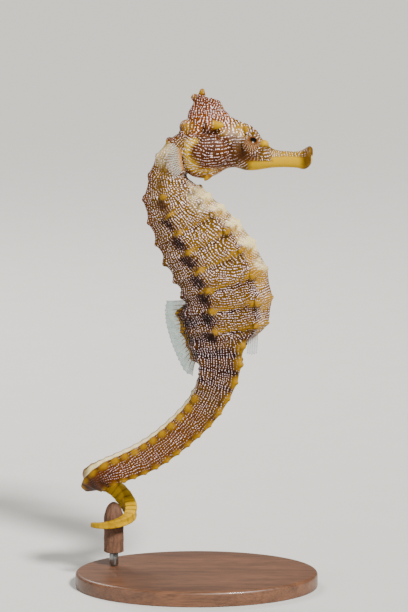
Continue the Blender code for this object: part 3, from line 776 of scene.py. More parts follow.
def coronet_points():
    """Loops of the coronet from inside the crown up to its dished top."""
    at = np.linspace(0, len(CORONET) - 1, CORONET_LOOPS)
    columns = [eased(at, np.arange(len(CORONET)), column) for column in np.array(CORONET).T]
    angle = turns(CORONET_STEPS)
    share = (1 + np.cos(angle)) / 2
    rows = []
    for back_z, front_z, back, front, side in zip(*columns):
        x = back + (front - back) * share
        y = side * np.sin(angle) * (1.1 - 0.25 * share)
        rows.append(rows_of(x, y, back_z + (front_z - back_z) * share))
    top = rows[-1]
    middle = top.mean(axis=0) - np.array([0, 0, DISH_DEPTH])
    for shrink in (0.75, 0.4, 0.1):
        rows.append(middle + (top - middle) * np.array([shrink, shrink, shrink**2]))
    return np.array(rows)


def spike_mesh(name, spike):
    """A blunt cone with a round tip that starts inside the bone."""
    # Shares of the radius and of the height, from the foot to the tip.
    profile = [(1.0, 0.0), (0.85, 0.4), (0.62, 0.75), (spike.tip, 0.93), (spike.tip * 0.5, 1.0)]
    total = spike.length + spike.sunk
    angle = turns(SPIKE_SIDES)
    rows = np.array([loop_at(angle, total * h, spike.radius * r, spike.radius * r) for r, h in profile])
    turn = np.array(Vector(spike.lean).to_track_quat("Z", "Y").to_matrix())
    start = np.array(spike.foot) - unit(np.array(spike.lean, float)) * spike.sunk
    return grid_object(name, (rows.reshape(-1, 3) @ turn.T + start).reshape(rows.shape))


def ball(name, centre, radii):
    """A round lump with a radius for each axis."""
    made = bmesh.new()
    bmesh.ops.create_uvsphere(made, u_segments=48, v_segments=32, radius=1)
    made.transform(Matrix.Translation(Vector(centre) * MM) @ Matrix.Diagonal((*(r * MM for r in radii), 1)))
    mesh = bpy.data.meshes.new(name)
    made.to_mesh(mesh)
    made.free()
    return put(name, mesh)


tiers = coronet_points()
head_parts = [grid_object("coronet_surface", tiers), ball("nape_knob", *NAPE_KNOB)]
for number, spike in enumerate(SPIKES):
    head_parts.append(spike_mesh(f"spike_{number}", spike))
for number, spike in enumerate(PAIRED_SPIKES):
    for side in (-1, 1):
        (fx, fy, fz), (lx, ly, lz) = spike.foot, spike.lean
        mirrored = spike._replace(foot=(fx, side * fy, fz), lean=(lx, side * ly, lz))
        head_parts.append(spike_mesh(f"paired_spike_{number}_{side}", mirrored))
for side in (-1, 1):
    head_parts.append(ball(f"orbit_{side}", (EYE.x, side * (EYE.y - ORBIT_INSET), EYE.z), ORBIT_RADII))
print("head parts:", len(head_parts))

# %% [markdown]
# ## One skin over everything
# On the animal a single skin runs from the lips to the tail's tip. The shapes so far overlap like clay lumps
# on a maquette. A voxel remesh melts them into one closed surface, three smoothing passes soften it, and a
# decimate keeps the small triangles where the form turns sharply. Then the skin is drawn round each eyeball.

# %% Join, remesh and smooth
VOXEL = 0.2
SMOOTHING_PASSES = 3
SKIN_TRIANGLES = 194000


def recalculated(item):
    """Joins doubled points and turns all faces outwards."""
    made = bmesh.new()
    made.from_mesh(item.data)
    bmesh.ops.remove_doubles(made, verts=made.verts, dist=1e-7)
    bmesh.ops.recalc_face_normals(made, faces=made.faces)
    made.to_mesh(item.data)
    made.free()


def per_vertex(mesh, name):
    """Rows of a vector that every vertex has, such as its place or its normal."""
    values = np.empty(len(mesh.vertices) * 3)
    mesh.vertices.foreach_get(name, values)
    return values.reshape(-1, 3)


whole = bmesh.new()
for lump in [body, knob_shapes, head, *head_parts]:
    recalculated(lump)
    whole.from_mesh(lump.data)
    bpy.data.objects.remove(lump)
whole.transform(Matrix.Scale(1 / MM, 4))  # in millimetres, so that the voxels aren't tiny numbers
clay_mesh = bpy.data.meshes.new("clay")
whole.to_mesh(clay_mesh)
whole.free()
clay = put("clay", clay_mesh)
melt = clay.modifiers.new("melt", "REMESH")
melt.mode, melt.voxel_size, melt.adaptivity, melt.use_smooth_shade = "VOXEL", VOXEL, 0, True
soften = clay.modifiers.new("soften", "SMOOTH")
soften.factor, soften.iterations = 0.5, SMOOTHING_PASSES
clay = evaluated_copy(clay, "clay")
quads = len(clay.data.polygons)
thin = clay.modifiers.new("thin", "DECIMATE")
thin.ratio = min(1.0, SKIN_TRIANGLES / (2 * quads))
skin = evaluated_copy(clay, "skin")
skin_points = per_vertex(skin.data, "co")
triangles = sum(len(face.vertices) - 2 for face in skin.data.polygons)
print("skin:", 2 * quads, "triangles melted, thinned to", triangles)

# %% Eyelids
LID_AXIS = (0.05, 0.93, 0.35)  # the middle of the opening, on the left
LID_THICK = 0.28
LID_GROOVE = 0.25  # the crease round the turret
LID_OPEN = 60  # degrees from the middle of the opening to its edge
UNDER_BALL = 0.5  # how deep the skin runs behind the ball's surface
TURRET_REACH = 4.6


def with_eyelids(points):
    """Draws the skin under the ball inside the opening, and close over it round the edge."""
    points = points.copy()
    hidden, lid = EYE_RADIUS - UNDER_BALL, EYE_RADIUS + LID_THICK
    for side in (-1, 1):
        axis = unit(np.array(LID_AXIS) * (1, side, 1))
        offset = points - np.array([EYE.x, side * EYE.y, EYE.z])
        reach = np.linalg.norm(offset, axis=1)
        angle = np.degrees(np.arccos(np.clip(offset @ axis / reach, -1, 1)))
        target = hidden + (lid - hidden) * rise(LID_OPEN - 5, LID_OPEN + 1, angle)
        target = target - LID_GROOVE * bell(angle, LID_OPEN + 20, 7)
        share = (1 - rise(LID_OPEN + 8, LID_OPEN + 36, angle)) * (reach < TURRET_REACH)
        points += offset * ((target / reach - 1) * share)[:, None]
    return points


skin_points = with_eyelids(skin_points)
skin.data.vertices.foreach_set("co", (skin_points * MM).ravel())
skin.data.update()
skin.data.shade_smooth()
print("eyelids: open", 2 * LID_OPEN, "degrees")

# %% [markdown]
# ## Where each marking lies
# The species is named for its fine white lines. They flow along the body, round the cheeks and out from the
# eye, over golden brown with dark saddles, amber knobs, a pale belly and a yellow snout. Each vertex finds
# its nearest spot on the body or head grid, which tells it how far along and round the body it is. From that
# come a few masks and a direction, kept on the mesh for the material to read.
# Some masks also paint shade into hollows, under edges, under the neck and under the nape's knob, and highlights
# on the tail's crest and the lower lip.

# %% Coordinates of each vertex on the body
body_flat = body_points.reshape(-1, 3)
spots = np.concatenate([body_flat, head_points.reshape(-1, 3), tiers.reshape(-1, 3)])
spot_tree = KDTree(len(spots))
for number, spot in enumerate(spots):
    spot_tree.insert(spot, number)
spot_tree.balance()
nearest = np.array([spot_tree.find(point)[1] for point in skin_points])
on_head = nearest >= len(body_flat)
nearest = np.minimum(nearest, len(body_flat) - 1)
row, column = np.divmod(nearest, SECTION_STEPS)
spine_place, spine_along = SPINE.at(body_s[row])[:2]
offset = skin_points - body_flat[nearest]
length = body_s[row] + dot(offset, spine_along)[:, 0]
round_step = body_points[row, (column + 1) % SECTION_STEPS] - body_points[row, column]
past_spot = dot(offset, round_step)[:, 0] / np.sum(round_step**2, axis=1)
around = body_around[column] + past_spot * AROUND / SECTION_STEPS
folded = np.clip(np.minimum(around, AROUND - around), 0, KEEL)
number = ring_number(length)
from_spine = skin_points - spine_place
from_spine -= spine_along * dot(from_spine, spine_along)
normals = per_vertex(skin.data, "normal")
print("vertices on the head:", int(on_head.sum()), "of", len(skin_points))


# %% Masks of the trunk and tail
FIN_FROM, FIN_RINGS = 9.4, 3.1  # the ring where the dorsal fin's keel starts, and how many it spans


def waves(first, second):
    """Slow waves over the skin, which move the markings a little."""
    return np.sin(skin_points @ first) * np.sin(skin_points @ second)


def body_masks():
    """The share of each shade, of lines and of dots, and the direction across the lines.

    q counts the rings from the head, and v goes from 0 on the middle of the back to 7 on the keel.
    """
    drift, wander = waves((1.9, 0.8, 1.3), (-1.1, 1.7, 2.3)), waves((-2.1, 1.2, 0.9), (1.6, 0.7, -1.9))
    trunk = rise(12.2, 11.2, number)
    q, v = number + 0.07 * drift * trunk, folded + 0.2 * wander * trunk
    off_ring, past_ring, tail = q - np.round(q), q - np.floor(q), 1 - trunk
    between = bell(np.abs(off_ring), 0.5, 0.15)
    ringed = trunk * rise(4, 6, q)
    flank = rise(2.9, 3.3, v) * rise(5.4, 4.9, v)
    near_back, rust_back = rise(3.0, 0.2, v), rise(2.4, 0.6, v) * rise(8, 5, q)

    # Dark: the back, a saddle past each ring high on the flank and the vent's sides, and some painted shade.
    saddle = bell(past_ring, 0.42, 0.5) * bell(v, 2.45 + 0.5 * past_ring, 0.45)
    vent_side = rise(8.9, 9.5, q) * rise(4.9, 5.5, v) * trunk
    bend_shade = rise(24.5, 27, q) * rise(34, 31, q) * rise(1.2, 2.6, v)
    # The second term is painted shade on the back beside the dorsal fin's foot.
    dark = 0.62 * near_back * trunk + 0.3 * rise(3.0, 2.2, v) * bell(q, 10.2, 1.7) + vent_side * 0.2
    dark += (saddle + 0.15 * bell(v, 2.3, 0.6)) * trunk * rise(2.5, 5.5, q) + 0.15 * bell(q, 13.0, 1.6)
    # Painted shade in a thin line just under each ring's edge on the flank.
    dark += 0.72 * bell(off_ring, 0.16, 0.07) * flank * ringed
    dark += 0.22 * rise(7.5, 9, q) * rise(3, 3.6, v) * trunk
    # Painted shade in the furrow between the knobs of the lower ridge.
    dark += 0.45 * (1 - bell(off_ring, 0, 0.3)) * bell(v, 5.15, 0.25) * ringed
    # The first term is painted shade under the neck.
    dark += 0.6 * rise(4.0, 2.6, q) * rise(4.6, 6.0, v) + 0.5 * vent_side * bell(off_ring, 0.4, 0.25)
    # The tail's own dark brown, and painted shade on its underside.
    dark += tail * (0.59 - 0.16 * rise(14, 18, q) + 0.25 * rise(5.5, 6.5, v))
    # Painted shade in the tail's hollows between its knobs.
    dark += between * tail * (0.3 * bell(v, 1.2, 0.5) + 0.4 * bell(v, 4.9, 0.6))
    # Painted shade between the rings: where trunk meets tail, round the twig and in the belly's valleys.
    dark += between * (0.4 * bell(q, 12.2, 2.2) + 0.55 * rise(27, 30, q) + 0.16 * rise(5.4, 6.2, v) * ringed)
    # Painted shade on the side of the tail's bend, where it turns away.
    dark += 0.22 * bend_shade * rise(5.4, 4.6, v)

    # Gold: the knobs and the bars between them, the belly's edge, and a bead at the foot of each ray.
    fin_keel = rise(0.35, 0.7, fin_pad(body_s[row]) / FIN_PAD_HEIGHT)
    beads = 0.65 + 0.35 * np.cos(2 * math.pi * DORSAL_RAYS * (number - FIN_FROM) / FIN_RINGS)
    bar = bell(off_ring, -0.01, 0.1) * bell(v, 4.0, 0.75) * ringed * (0.55 + 0.45 * wander)
    knob_tops = bell(v, SIDE, 0.32) * rise(3, 4, q) + bell(v, LOWER, 0.5) * rise(5, 7, q)
    tail_tops = 0.95 * bell(v, 1.4, 0.55) * rise(14, 17, q) + 0.9 * bell(v, 4.95, 0.7)
    gold = 0.9 * bell(off_ring, 0, 0.17) * knob_tops * trunk + tail * bell(off_ring, 0, 0.42) * tail_tops
    gold += 0.62 * bar + 0.8 * rise(8.7, 9.4, q) * bell(v, 6.5, 0.7) * bell(off_ring, 0.05, 0.35) * trunk
    gold += 0.85 * bell(off_ring, 0.18, 0.22) * bell(v, 5.9, 0.5) * ringed
    # The first term is painted shade: gold in the belly's valleys between rings.
    gold += 0.6 * between * bell(v, 6.2, 0.7) * ringed + 0.7 * bell(v, 5.6, 0.35) * bell(q, 8.9, 0.7)
    gold += 0.3 * tail * rise(4.4, 5.2, v) + 0.7 * rise(38, 41, q)
    gold += 0.9 * bell(q, 1.0, 0.35) * bell(v, UPPER, 0.6) + 1.1 * bell(v, 0, 0.38) * fin_keel * beads

    # Yellow: the inner side of the bent tail, and all of it round the twig, but less in its creases, as painted
    # shade.
    inner = 0.95 * rise(26, 29, q) * rise(4.9, 5.6, v)
    crease_shade = 1 - 0.45 * bell(np.abs(off_ring), 0.5, 0.13)
    yellow = np.maximum(inner, 0.85 * rise(31, 33.5, q)) * (1 - 0.35 * rise(38, 42, q)) * crease_shade

    # Cream: the belly, a painted highlight on the tail's crest, the chest, the nape and the skin behind the gill
    # cover.
    belly = rise(4.9, 5.9, v) * rise(3.5, 5, q) * trunk * (1 - 0.75 * rise(8.4, 9.6, q) + 0.25 * drift)
    # Less cream between rings: painted shade in the belly's valleys.
    belly *= 1 - 0.62 * bell(np.abs(off_ring), 0.5, 0.24) * rise(4, 5, q)
    # The tail's crest gets cream and more white lines as a painted highlight along its upper edge.
    crest = rise(0.95, 0.45, v) * rise(14, 17, q) * rise(30, 27, q)
    chest = 0.5 * rise(3.8, 5.2, v) * bell(q, 4.6, 1.6)
    gill_side = 0.35 * bell(q, 1.6, 1.1) * bell(v, 3.3, 1.5)
    nape = 0.45 * bell(q, 1.5, 1.2) * rise(3.5, 2, v)

    # White lines are strong on plain brown, and give way to the other shades.
    lines = 1 - 0.52 * belly - 0.6 * np.clip(gold, 0, 1) + 0.3 * crest - 0.85 * yellow - 0.3 * bar
    lines -= trunk * (0.4 * near_back + 0.7 * saddle + 0.12 * rise(8, 9.5, q) * flank)
    lines -= tail * (0.25 + 0.08 * rise(14, 18, q)) + 0.5 * rise(25, 28.5, q)
    lines += ringed * (0.5 * bell(v, 6.0, 0.8) - 0.1 * flank)
    lines += 0.6 * bell(off_ring, 0.22, 0.16) * bell(v, 3.5, 0.5) * ringed

    # They run along the body, and turn to run round it on the lower side before the vent.
    crosswise = (rise(8, 9, q) * rise(11.6, 11, q) * rise(2.9, 3.6, v))[:, None]
    direction = unit(np.cross(spine_along, from_spine)) * (1 - crosswise) + spine_along * crosswise
    return {
        "dark": dark,
        "gold": gold,
        "yellow": yellow,
        "cream": np.maximum.reduce([belly * 0.95, crest, chest, gill_side, nape]),
        "rust": 0.7 * rust_back + tail * (0.55 * rise(13, 19, q) + 0.45 * rise(24, 27, q)),
        "lines": lines,
        "dots": 0.79 + 0.06 * tail + trunk * (0.15 * rise(3, 1.5, v) + 0.1 * rise(7.5, 9, q)),
        "sway": 1.3 - 0.6 * tail,
        "coarse": 0 * q,
        "across": unit(direction),
    }


on_body = body_masks()
print("masks of the body:", sorted(on_body))

# %% Masks of the head
X, Y, Z = skin_points.T


def patch(x, z, wide, high):
    """A soft oval on the head, seen from the side: 1 in its middle."""
    return bell(X, x, wide) * bell(Z, z, high)


def at_spikes(spikes):
    """1 on the tips of the given spines of the head."""
    share = np.zeros(len(skin_points))
    for spike in spikes:
        for side in (-1, 1):
            tip = np.array(spike.foot) + unit(np.array(spike.lean, float)) * spike.length
            away = np.linalg.norm(skin_points - tip * (1, side, 1), axis=1)
            share = np.maximum(share, rise(2.0, 0.9, away))
    return share


def facing(rows, others):
    """Rows turned round where they point against the others."""
    return np.where(dot(rows, others) < 0, -rows, rows)


def head_flow(oval, behind, snout):
    """How the lines run: arcs over the cheek, spokes at its rim and the eye, upright on crown and snout."""
    to_eye = rows_of(X - EYE.x, 0, Z - EYE.z)
    from_eye = np.linalg.norm(to_eye, axis=1) + 1e-6
    near_eye = bell(from_eye, 0, 6.5)[:, None]
    arc = unit(rows_of(127.0 - Z, 0, X - 5.0))
    spoke = facing(unit(rows_of(X - 4.0, 0, Z - MIDDLE_Z) + 1e-6), arc)
    at_rim = (rise(0.78, 1.0, oval) * rise(80, 110, behind))[:, None]
    upright = (rise(119, 121, Z) + snout).clip(0, 1)[:, None]
    flow = arc * (1 - at_rim) + spoke * at_rim
    flow = flow * (1 - near_eye) + facing(to_eye / from_eye[:, None], flow) * near_eye
    return from_eye, flow * (1 - upright) + np.array((0.0, 0.0, 1.0)) * upright


def head_masks():
    """The same shares and direction for the head, from its own coordinates in mm."""
    oval = gill_place(skin_points)
    angle = np.degrees(np.arctan2(Z - GILL_Z, X - GILL_X))
    snout, tip = rise(18.0, 20.5, X), rise(25.0, 28.8, X)
    coronet = rise(124.3, 125.6, Z)
    cheek = rise(1.25, 0.85, np.hypot((X - 5.0) / 7.6, (Z - 115.8) / 4.6))
    below_eye = patch(13.5, 114.3, 4.0, 2.2)
    crown_rear = patch(-0.5, 121.6, 4.2, 3.2)
    forehead = patch(10.5, 120.8, 4.6, 2.6)

    # Dark: the cheek, a patch below the eye, the coronet, the crown's rear, the snout's upper side, and a
    # painted shadow under the nape's knob.
    dark = 0.6 * cheek + 0.25 * below_eye + 0.2 * crown_rear + 0.4 * coronet
    dark += 0.08 * snout * rise(113, 113.8, Z) + 0.22 * rise(25.5, 29.0, X) * rise(110.5, 113.5, Z)
    dark += 0.2 * rise(111.6, 110.0, Z) * rise(15, 11, X)
    # The first patch is a painted shadow under the nape's knob.
    dark += 0.9 * patch(-3.2, 117.9, 1.5, 1.6) + 0.3 * patch(26.6, 112.2, 1.0, 1.0)

    # Gold: the knob on the nape, the horn's foot, the coronet's rim, the cheek's lower corner and the brow.
    horn_foot = rise(4.9, 5.9, X) * rise(2.6, 3.6, np.abs(Y))
    gold = 0.75 * patch(-2.8, 121.6, 2.2, 2.0) + 1.1 * patch(6.6, 122.0, 1.6, 1.0) * horn_foot
    gold += 0.6 * patch(-1.0, 129.4, 1.0, 0.9) + 0.7 * patch(-1.2, 112.4, 1.9, 1.9)
    gold += 0.9 * rise(129.6, 130.6, Z) + 0.2 * rise(27.5, 29.0, X)

    # Yellow: the cheek's hind and lower rims, the chin, the snout and a spot on the nose.
    rear = rise(100, 135, np.abs(angle)) * bell(oval, 0.94, 0.25)
    low_rim = rise(35, 75, -angle) * bell(oval, 1.0, 0.22)
    under = rise(112.6, 110.6, Z) * rise(18.0, 14.5, X) * rise(-5, -3.5, X)
    chin = rise(113.4, 112.3, Z) * rise(12, 15, X) * (1 - 0.85 * tip)
    tube = snout * (1 - 0.62 * rise(113.4, 114.2, Z)) * (1 - 0.85 * tip)
    nose = patch(17.9, 117.6, 1.5, 1.0)
    bands = [rear * rise(120, 118, Z), 0.7 * low_rim, 0.25 * under, 0.95 * chin, tube, nose, 0.3 * forehead]
    yellow = np.maximum.reduce(bands)

    # Cream: faint on the forehead and the bridge of the nose, and strong on the lower lip as a painted
    # highlight.
    bridge = rise(14, 18, X) * rise(114.4, 115.4, Z) * (1 - 0.6 * rise(26, 28, X))
    cream = np.maximum(0.12 * forehead, 0.1 * bridge) + 0.25 * coronet * bell(X, 7.0, 2.0)
    # A painted highlight on the lower lip.
    cream += 0.8 * rise(29.3, 29.7, X) * rise(114.6, 113.8, Z)

    # White lines: weak on yellow and on the spines, and strong on the forehead and the cheek's hind rim.
    from_eye, flow = head_flow(oval, np.abs(angle), snout)
    horn = rise(2.6, 1.2, np.linalg.norm((np.abs(skin_points) - (6.3, 4.9, 122.4)) * (0.75, 1, 1), axis=1))
    spines = at_spikes(PAIRED_SPIKES[:3] + SPIKES[:1])
    plain = np.maximum(yellow * (1 - rear) * (1 - low_rim) * (1 - snout), snout * rise(114.2, 113.4, Z))
    lines = 1 - 0.95 * plain - 0.5 * np.clip(gold, 0, 1) - 0.32 * cheek - 0.2 * below_eye + 0.55 * forehead
    lines += 0.45 * rear + 0.1 * low_rim - 0.1 * coronet - 0.1 * crown_rear - 0.22 * snout - 0.3 * tip
    lines -= 0.15 * under + 0.3 * bell(from_eye, 3.4, 1.3) + 0.7 * horn + 0.8 * spines
    dots = 0.55 + 0.16 * cheek + 0.3 * coronet + 0.25 * crown_rear + 0.3 * snout + 0.15 * forehead
    return {
        "dark": dark,
        "gold": gold + 0.9 * spines + 0.55 * patch(10.5, 120.9, 3.8, 2.4),
        "yellow": np.maximum(yellow, 0.62 * horn),
        "cream": cream,
        "rust": 0.75 * rise(12.0, 7.0, X) + 0.5 * coronet + 0.6 * below_eye,
        "lines": lines,
        "dots": np.clip(dots, 0, 0.85),
        "sway": 1.5 + 0 * X,
        "coarse": np.where((Z < 124.2) & (X < 18.6), 1.0, 0.0),
        "across": unit(np.cross(unit(flow), normals) + 1e-9),
    }


of_head = head_masks()
for name, values in on_body.items():
    if name == "across":
        store(skin.data, name, np.where(on_head[:, None], of_head[name], values))
    else:
        store(skin.data, name, np.clip(np.where(on_head, of_head[name], values), 0, 1.5))
print("markings on the skin:", [layer.name for layer in skin.data.attributes if layer.name in on_body])

# %% [markdown]
# ## The skin's finish
# Fish skin is a thin living film over bone: satin, slightly see-through, and wet. The white lines are Gabor
# noise, which makes stripes of one spacing that branch and end like a fingerprint. Its direction comes from
# the mesh, so the lines follow the form. A second, crosswise noise cuts them into dashes and dots.

# %% Skin material
LINE_SPACING, COARSE_SPACING = 0.63, 0.82  # life-size, from one white line to the next: body and cheeks
LINE_CELLS = 2.4  # line spacings in one cell of the noise
CUT_SHIFT = 0.37  # moves the crosswise noise, so that it isn't the lines' own pattern
SWAY_SIZE, JITTER_SIZE, PATCH_SIZE = 2.4, 0.9, 3.4  # of the noises that bend, cut and thin the lines
JITTER_STRENGTH = 9.0  # radians that the cuts are moved by at most
MOTTLE_SIZE, PORE_SIZE = 2.6, 0.5
WHITE = "#FFE6EC"
# The dark, gold and cream layers also carry the painted shade and painted highlights set in the masks.
SHADES = {  # from the lowest layer up
    "rust": "#6E3600",
    "dark": "#361800",
    "black": "#120500",
    "cream": "#DAC88C",
    "gold": "#8C6600",
    "yellow": "#BC9400",
}


def gabor(tree, place, direction, coarse, shift=0.0):
    """The phase of stripes across a direction, at the spacing of the body or of the cheeks.

    The noise has one Orientation for 2D and one for 3D. The second is input 5.
    """
    moved = vector_maths(tree, "ADD", place, (shift, 0, 0))
    fine, wide = (1 / (LINE_CELLS * spacing * MM) for spacing in (LINE_SPACING, COARSE_SPACING))
    scale = add(tree, "ShaderNodeMix", {0: coarse, 2: fine, 3: wide}).outputs[0]
    inputs = {"Vector": moved, "Scale": scale, "Frequency": LINE_CELLS, "Anisotropy": 0.92, 5: direction}
    return add(tree, "ShaderNodeTexGabor", inputs, gabor_type="3D").outputs["Phase"]


def wave(tree, phase, shift):
    """1 along the middle of each stripe and -1 halfway between two, at full strength everywhere."""
    return maths(tree, "COSINE", maths(tree, "MULTIPLY_ADD", phase, 2 * math.pi, shift))


def over(tree, value, mask, least, most):
    """How far a value lies over a level, which the mask moves from least to most."""
    return maths(tree, "SUBTRACT", value, spread(tree, mask, 0.0, 1.0, least, most, clamp=False))


def read_mask(tree, name, output="Fac"):
    """A mask or a direction that the mesh carries."""
    return add(tree, "ShaderNodeAttribute", attribute_name=name).outputs[output]


# Wet skin: a soft satin with a thin clear coat, and a little light that passes just under the surface.
skin_finish, tree, shader = new_material("wet_ringed_fish_skin")
place = own_place(tree)
masks = {name: read_mask(tree, name) for name in on_body if name != "across"}
coarse = maths(tree, "GREATER_THAN", masks["coarse"], 0.5)
swaying = vector_maths(tree, "SUBTRACT", noise(tree, place, SWAY_SIZE, 1.0, output=1), (0.5, 0.5, 0.5))
swaying = add(tree, "ShaderNodeVectorMath", {0: swaying, "Scale": masks["sway"]}, operation="SCALE")
across = vector_maths(tree, "ADD", swaying.outputs[0], read_mask(tree, "across", "Vector"))
across = vector_maths(tree, "NORMALIZE", across)
normal = add(tree, "ShaderNodeNewGeometry").outputs["Normal"]
stripes = gabor(tree, place, across, coarse)
cuts = gabor(tree, place, vector_maths(tree, "CROSS_PRODUCT", across, normal), coarse, CUT_SHIFT)

jitter = maths(tree, "MULTIPLY", noise(tree, place, JITTER_SIZE, 1.0), masks["sway"])
jitter = maths(tree, "MULTIPLY", jitter, JITTER_STRENGTH)
patchy = spread(tree, noise(tree, place, PATCH_SIZE), 0.3, 0.7, -0.15, 0.15)
on_line = over(tree, wave(tree, stripes, 0.0), maths(tree, "ADD", patchy, masks["lines"]), 1.25, 0.52)
on_dash = over(tree, wave(tree, cuts, jitter), masks["dots"], -1.1, 0.25)
dotted = maths(tree, "MINIMUM", on_line, on_dash)
strongest = spread(tree, masks["lines"], 0.4, 1.0, 0.5, 1.0)
white = spread(tree, dotted, -0.15, 0.25, 0.0, strongest, interpolation_type="SMOOTHSTEP")

mottle = noise(tree, place, MOTTLE_SIZE, 4.0)
ragged = {"black": spread(tree, maths(tree, "MULTIPLY_ADD", mottle, 1.3, masks["dark"]), 1.3, 1.8, 0.0, 0.85)}
uneven = maths(tree, "SUBTRACT", mottle, 0.5)
for name in ("rust", "dark", "gold", "yellow", "cream"):
    mixed = maths(tree, "MULTIPLY_ADD", uneven, 0.8, masks[name])
    ragged[name] = spread(tree, mixed, 0.05 if name == "dark" else 0.18, 0.85)
tone = tint(tree, mottle, "#3C2600", "#765200")
for name, shade in SHADES.items():
    tone = tint(tree, ragged[name], tone, shade)
relief = maths(tree, "MULTIPLY_ADD", noise(tree, place, PORE_SIZE), 0.35, white)
fill(tree, shader, {
    "Base Color": tint(tree, white, tone, WHITE),
    "Roughness": spread(tree, white, 0.0, 1.0, 0.5, 0.36),
    "Normal": dented(tree, relief, 0.5, 0.06),
    "IOR": 1.4,
    "Subsurface Weight": 0.06,
    "Subsurface Radius": (1.0, 0.5, 0.25),
    "Subsurface Scale": 0.3 * MM,
    "Specular IOR Level": 0.14,
    "Coat Weight": 0.03,
    "Coat Roughness": 0.2,
})
skin.data.materials.clear()
skin.data.materials.append(skin_finish)
print("skin finish:", len(tree.nodes), "nodes")

# %% [markdown]
# ## Eyes
# A seahorse's eye is a round turret that carries the face's own lines right up to a small dark pupil. Each
# ball is made with its pole on the pupil, so its map runs from the pupil outwards and the rays are simple
# stripes.

# %% Eyeballs
GAZE = (0.26, 0.66, 0.7)  # of the left eye
PUPIL = 0.85  # radius
IRIS_RAYS = 24
IRIS_LUMPS = 9.0  # across the map, which is 1 wide
EYE_STEPS, EYE_RINGS = 64, 40

# A moist cornea: one small soft glint over a brown iris with pale rays and a nearly black pupil.
eye_finish, tree, shader = new_material("wet_cornea_over_iris")
place = add(tree, "ShaderNodeUVMap", uv_map="from_pupil").outputs[0]
turn, outer = add(tree, "ShaderNodeSeparateXYZ", {"Vector": place}).outputs[:2]
wobble = add(tree, "ShaderNodeTexNoise", {"Vector": place, "Scale": IRIS_LUMPS, "Detail": 2.0}).outputs[0]
bent = maths(tree, "MULTIPLY", maths(tree, "MULTIPLY_ADD", wobble, 0.09, turn), IRIS_RAYS * 2 * math.pi)
rays = spread(tree, maths(tree, "SINE", bent), 0.3, 0.8, 0.0, 0.4)
rays = maths(tree, "MULTIPLY", rays, spread(tree, outer, 0.13, 0.24))
iris = tint(tree, rays, tint(tree, wobble, "#2E1400", "#7A4200"), "#E8CFA8")
edge = PUPIL / (math.pi * EYE_RADIUS)
inside = spread(tree, outer, edge * 0.9, edge * 1.15, 1.0, 0.0)
fill(tree, shader, {
    "Base Color": tint(tree, inside, iris, "#060404"),
    "Roughness": 0.3,
    "IOR": 1.38,
    "Specular IOR Level": 0.15,
    "Coat Weight": 0.15,
    "Coat Roughness": 0.1,
})


def make_eye(name, side):
    """A ball with its pole on the pupil, and a map of turn and distance from the pupil."""
    top = (EYE_RINGS - 1) * EYE_STEPS

    def vertex(down, turn):
        """The number of the vertex so many rings down and steps round."""
        if down in (0, EYE_RINGS):
            return top + (down == EYE_RINGS)
        return (down - 1) * EYE_STEPS + turn % EYE_STEPS

    points = []
    for down in range(1, EYE_RINGS):
        angle = math.pi * down / EYE_RINGS
        points += list(loop_at(turns(EYE_STEPS), math.cos(angle), math.sin(angle), math.sin(angle)))
    points += [(0, 0, 1), (0, 0, -1)]
    faces, places = [], []
    for j in range(EYE_STEPS):
        for i in range(EYE_RINGS):
            corners = [(i, j), (i + 1, j), (i + 1, j + 1), (i, j + 1)]
            if i == 0:
                corners = [(0, j + 0.5), (1, j), (1, j + 1)]
            elif i == EYE_RINGS - 1:
                corners = [(i, j), (EYE_RINGS, j + 0.5), (i, j + 1)]
            faces.append([vertex(*corner) for corner in corners])
            places += [(turn / EYE_STEPS, down / EYE_RINGS) for down, turn in corners]
    gaze = Vector(GAZE).normalized() * Vector((1, side, 1))
    axes = np.array(gaze.to_track_quat("Z", "Y").to_matrix())
    placed = np.array(points) @ axes.T * EYE_RADIUS + np.array([EYE.x, side * EYE.y, EYE.z])
    eye = new_object(name, placed, faces, eye_finish)
    layer = eye.data.uv_layers.new(name="from_pupil")
    layer.data.foreach_set("uv", np.array(places, np.float32).ravel())
    return eye


EYES = {node: make_eye(node + "_ball", side) for node, side in (("eye_right", -1), ("eye_left", 1))}
print("eyes:", sorted(EYES))

# %% [markdown]
# ## Fins
# A fin is a clear web between bony rays. The dorsal fin drives the animal, so it has a fleshy foot and many
# rays; the two behind the gills steer; and a female keeps a tiny one at the vent. Each fin is two pieces: a
# thin web, and its rays, which follow paths, so Geometry Nodes turn each path into a tapered tube.

# %% Paths of the rays
ANAL_RAYS, PECTORAL_RAYS = 5, 15
RAY_STEPS = 12
RAY_BURIED = 1.1  # of each dorsal ray, in the keel
DORSAL_FOOT = (-3.3, 4.9)  # where it starts and ends, from the fin's two rings
DORSAL_EDGE = np.array([  # its free edge from front to back: the share of the way, x and z
    (0, -7.9, 76.2), (0.1, -8.35, 74.0), (0.3, -8.1, 70.3), (0.55, -6.6, 64.8),
    (0.78, -4.7, 60.3), (0.92, -3.0, 57.0), (1, -1.0, 56.3),
])
# The x and z of both ends of the two smaller fins' feet, and of the anal fin's free edge.
ANAL_FOOT, ANAL_EDGE = ((13.7, 66.7), (15.8, 67.8)), ((13.1, 62.2), (15.7, 62.2))
PECTORAL_FOOT = ((-4.1, 116.0), (-3.4, 111.4))
PECTORAL_Y, PECTORAL_FLARE = 4.75, 0.9  # how far out its foot is, and its edge beyond that
PECTORAL_LENGTH, PECTORAL_MORE = 3.6, 0.7  # of its outer rays, and how much longer the middle ones are
PECTORAL_LEAN = (35, -50)  # degrees above level of its first and last rays


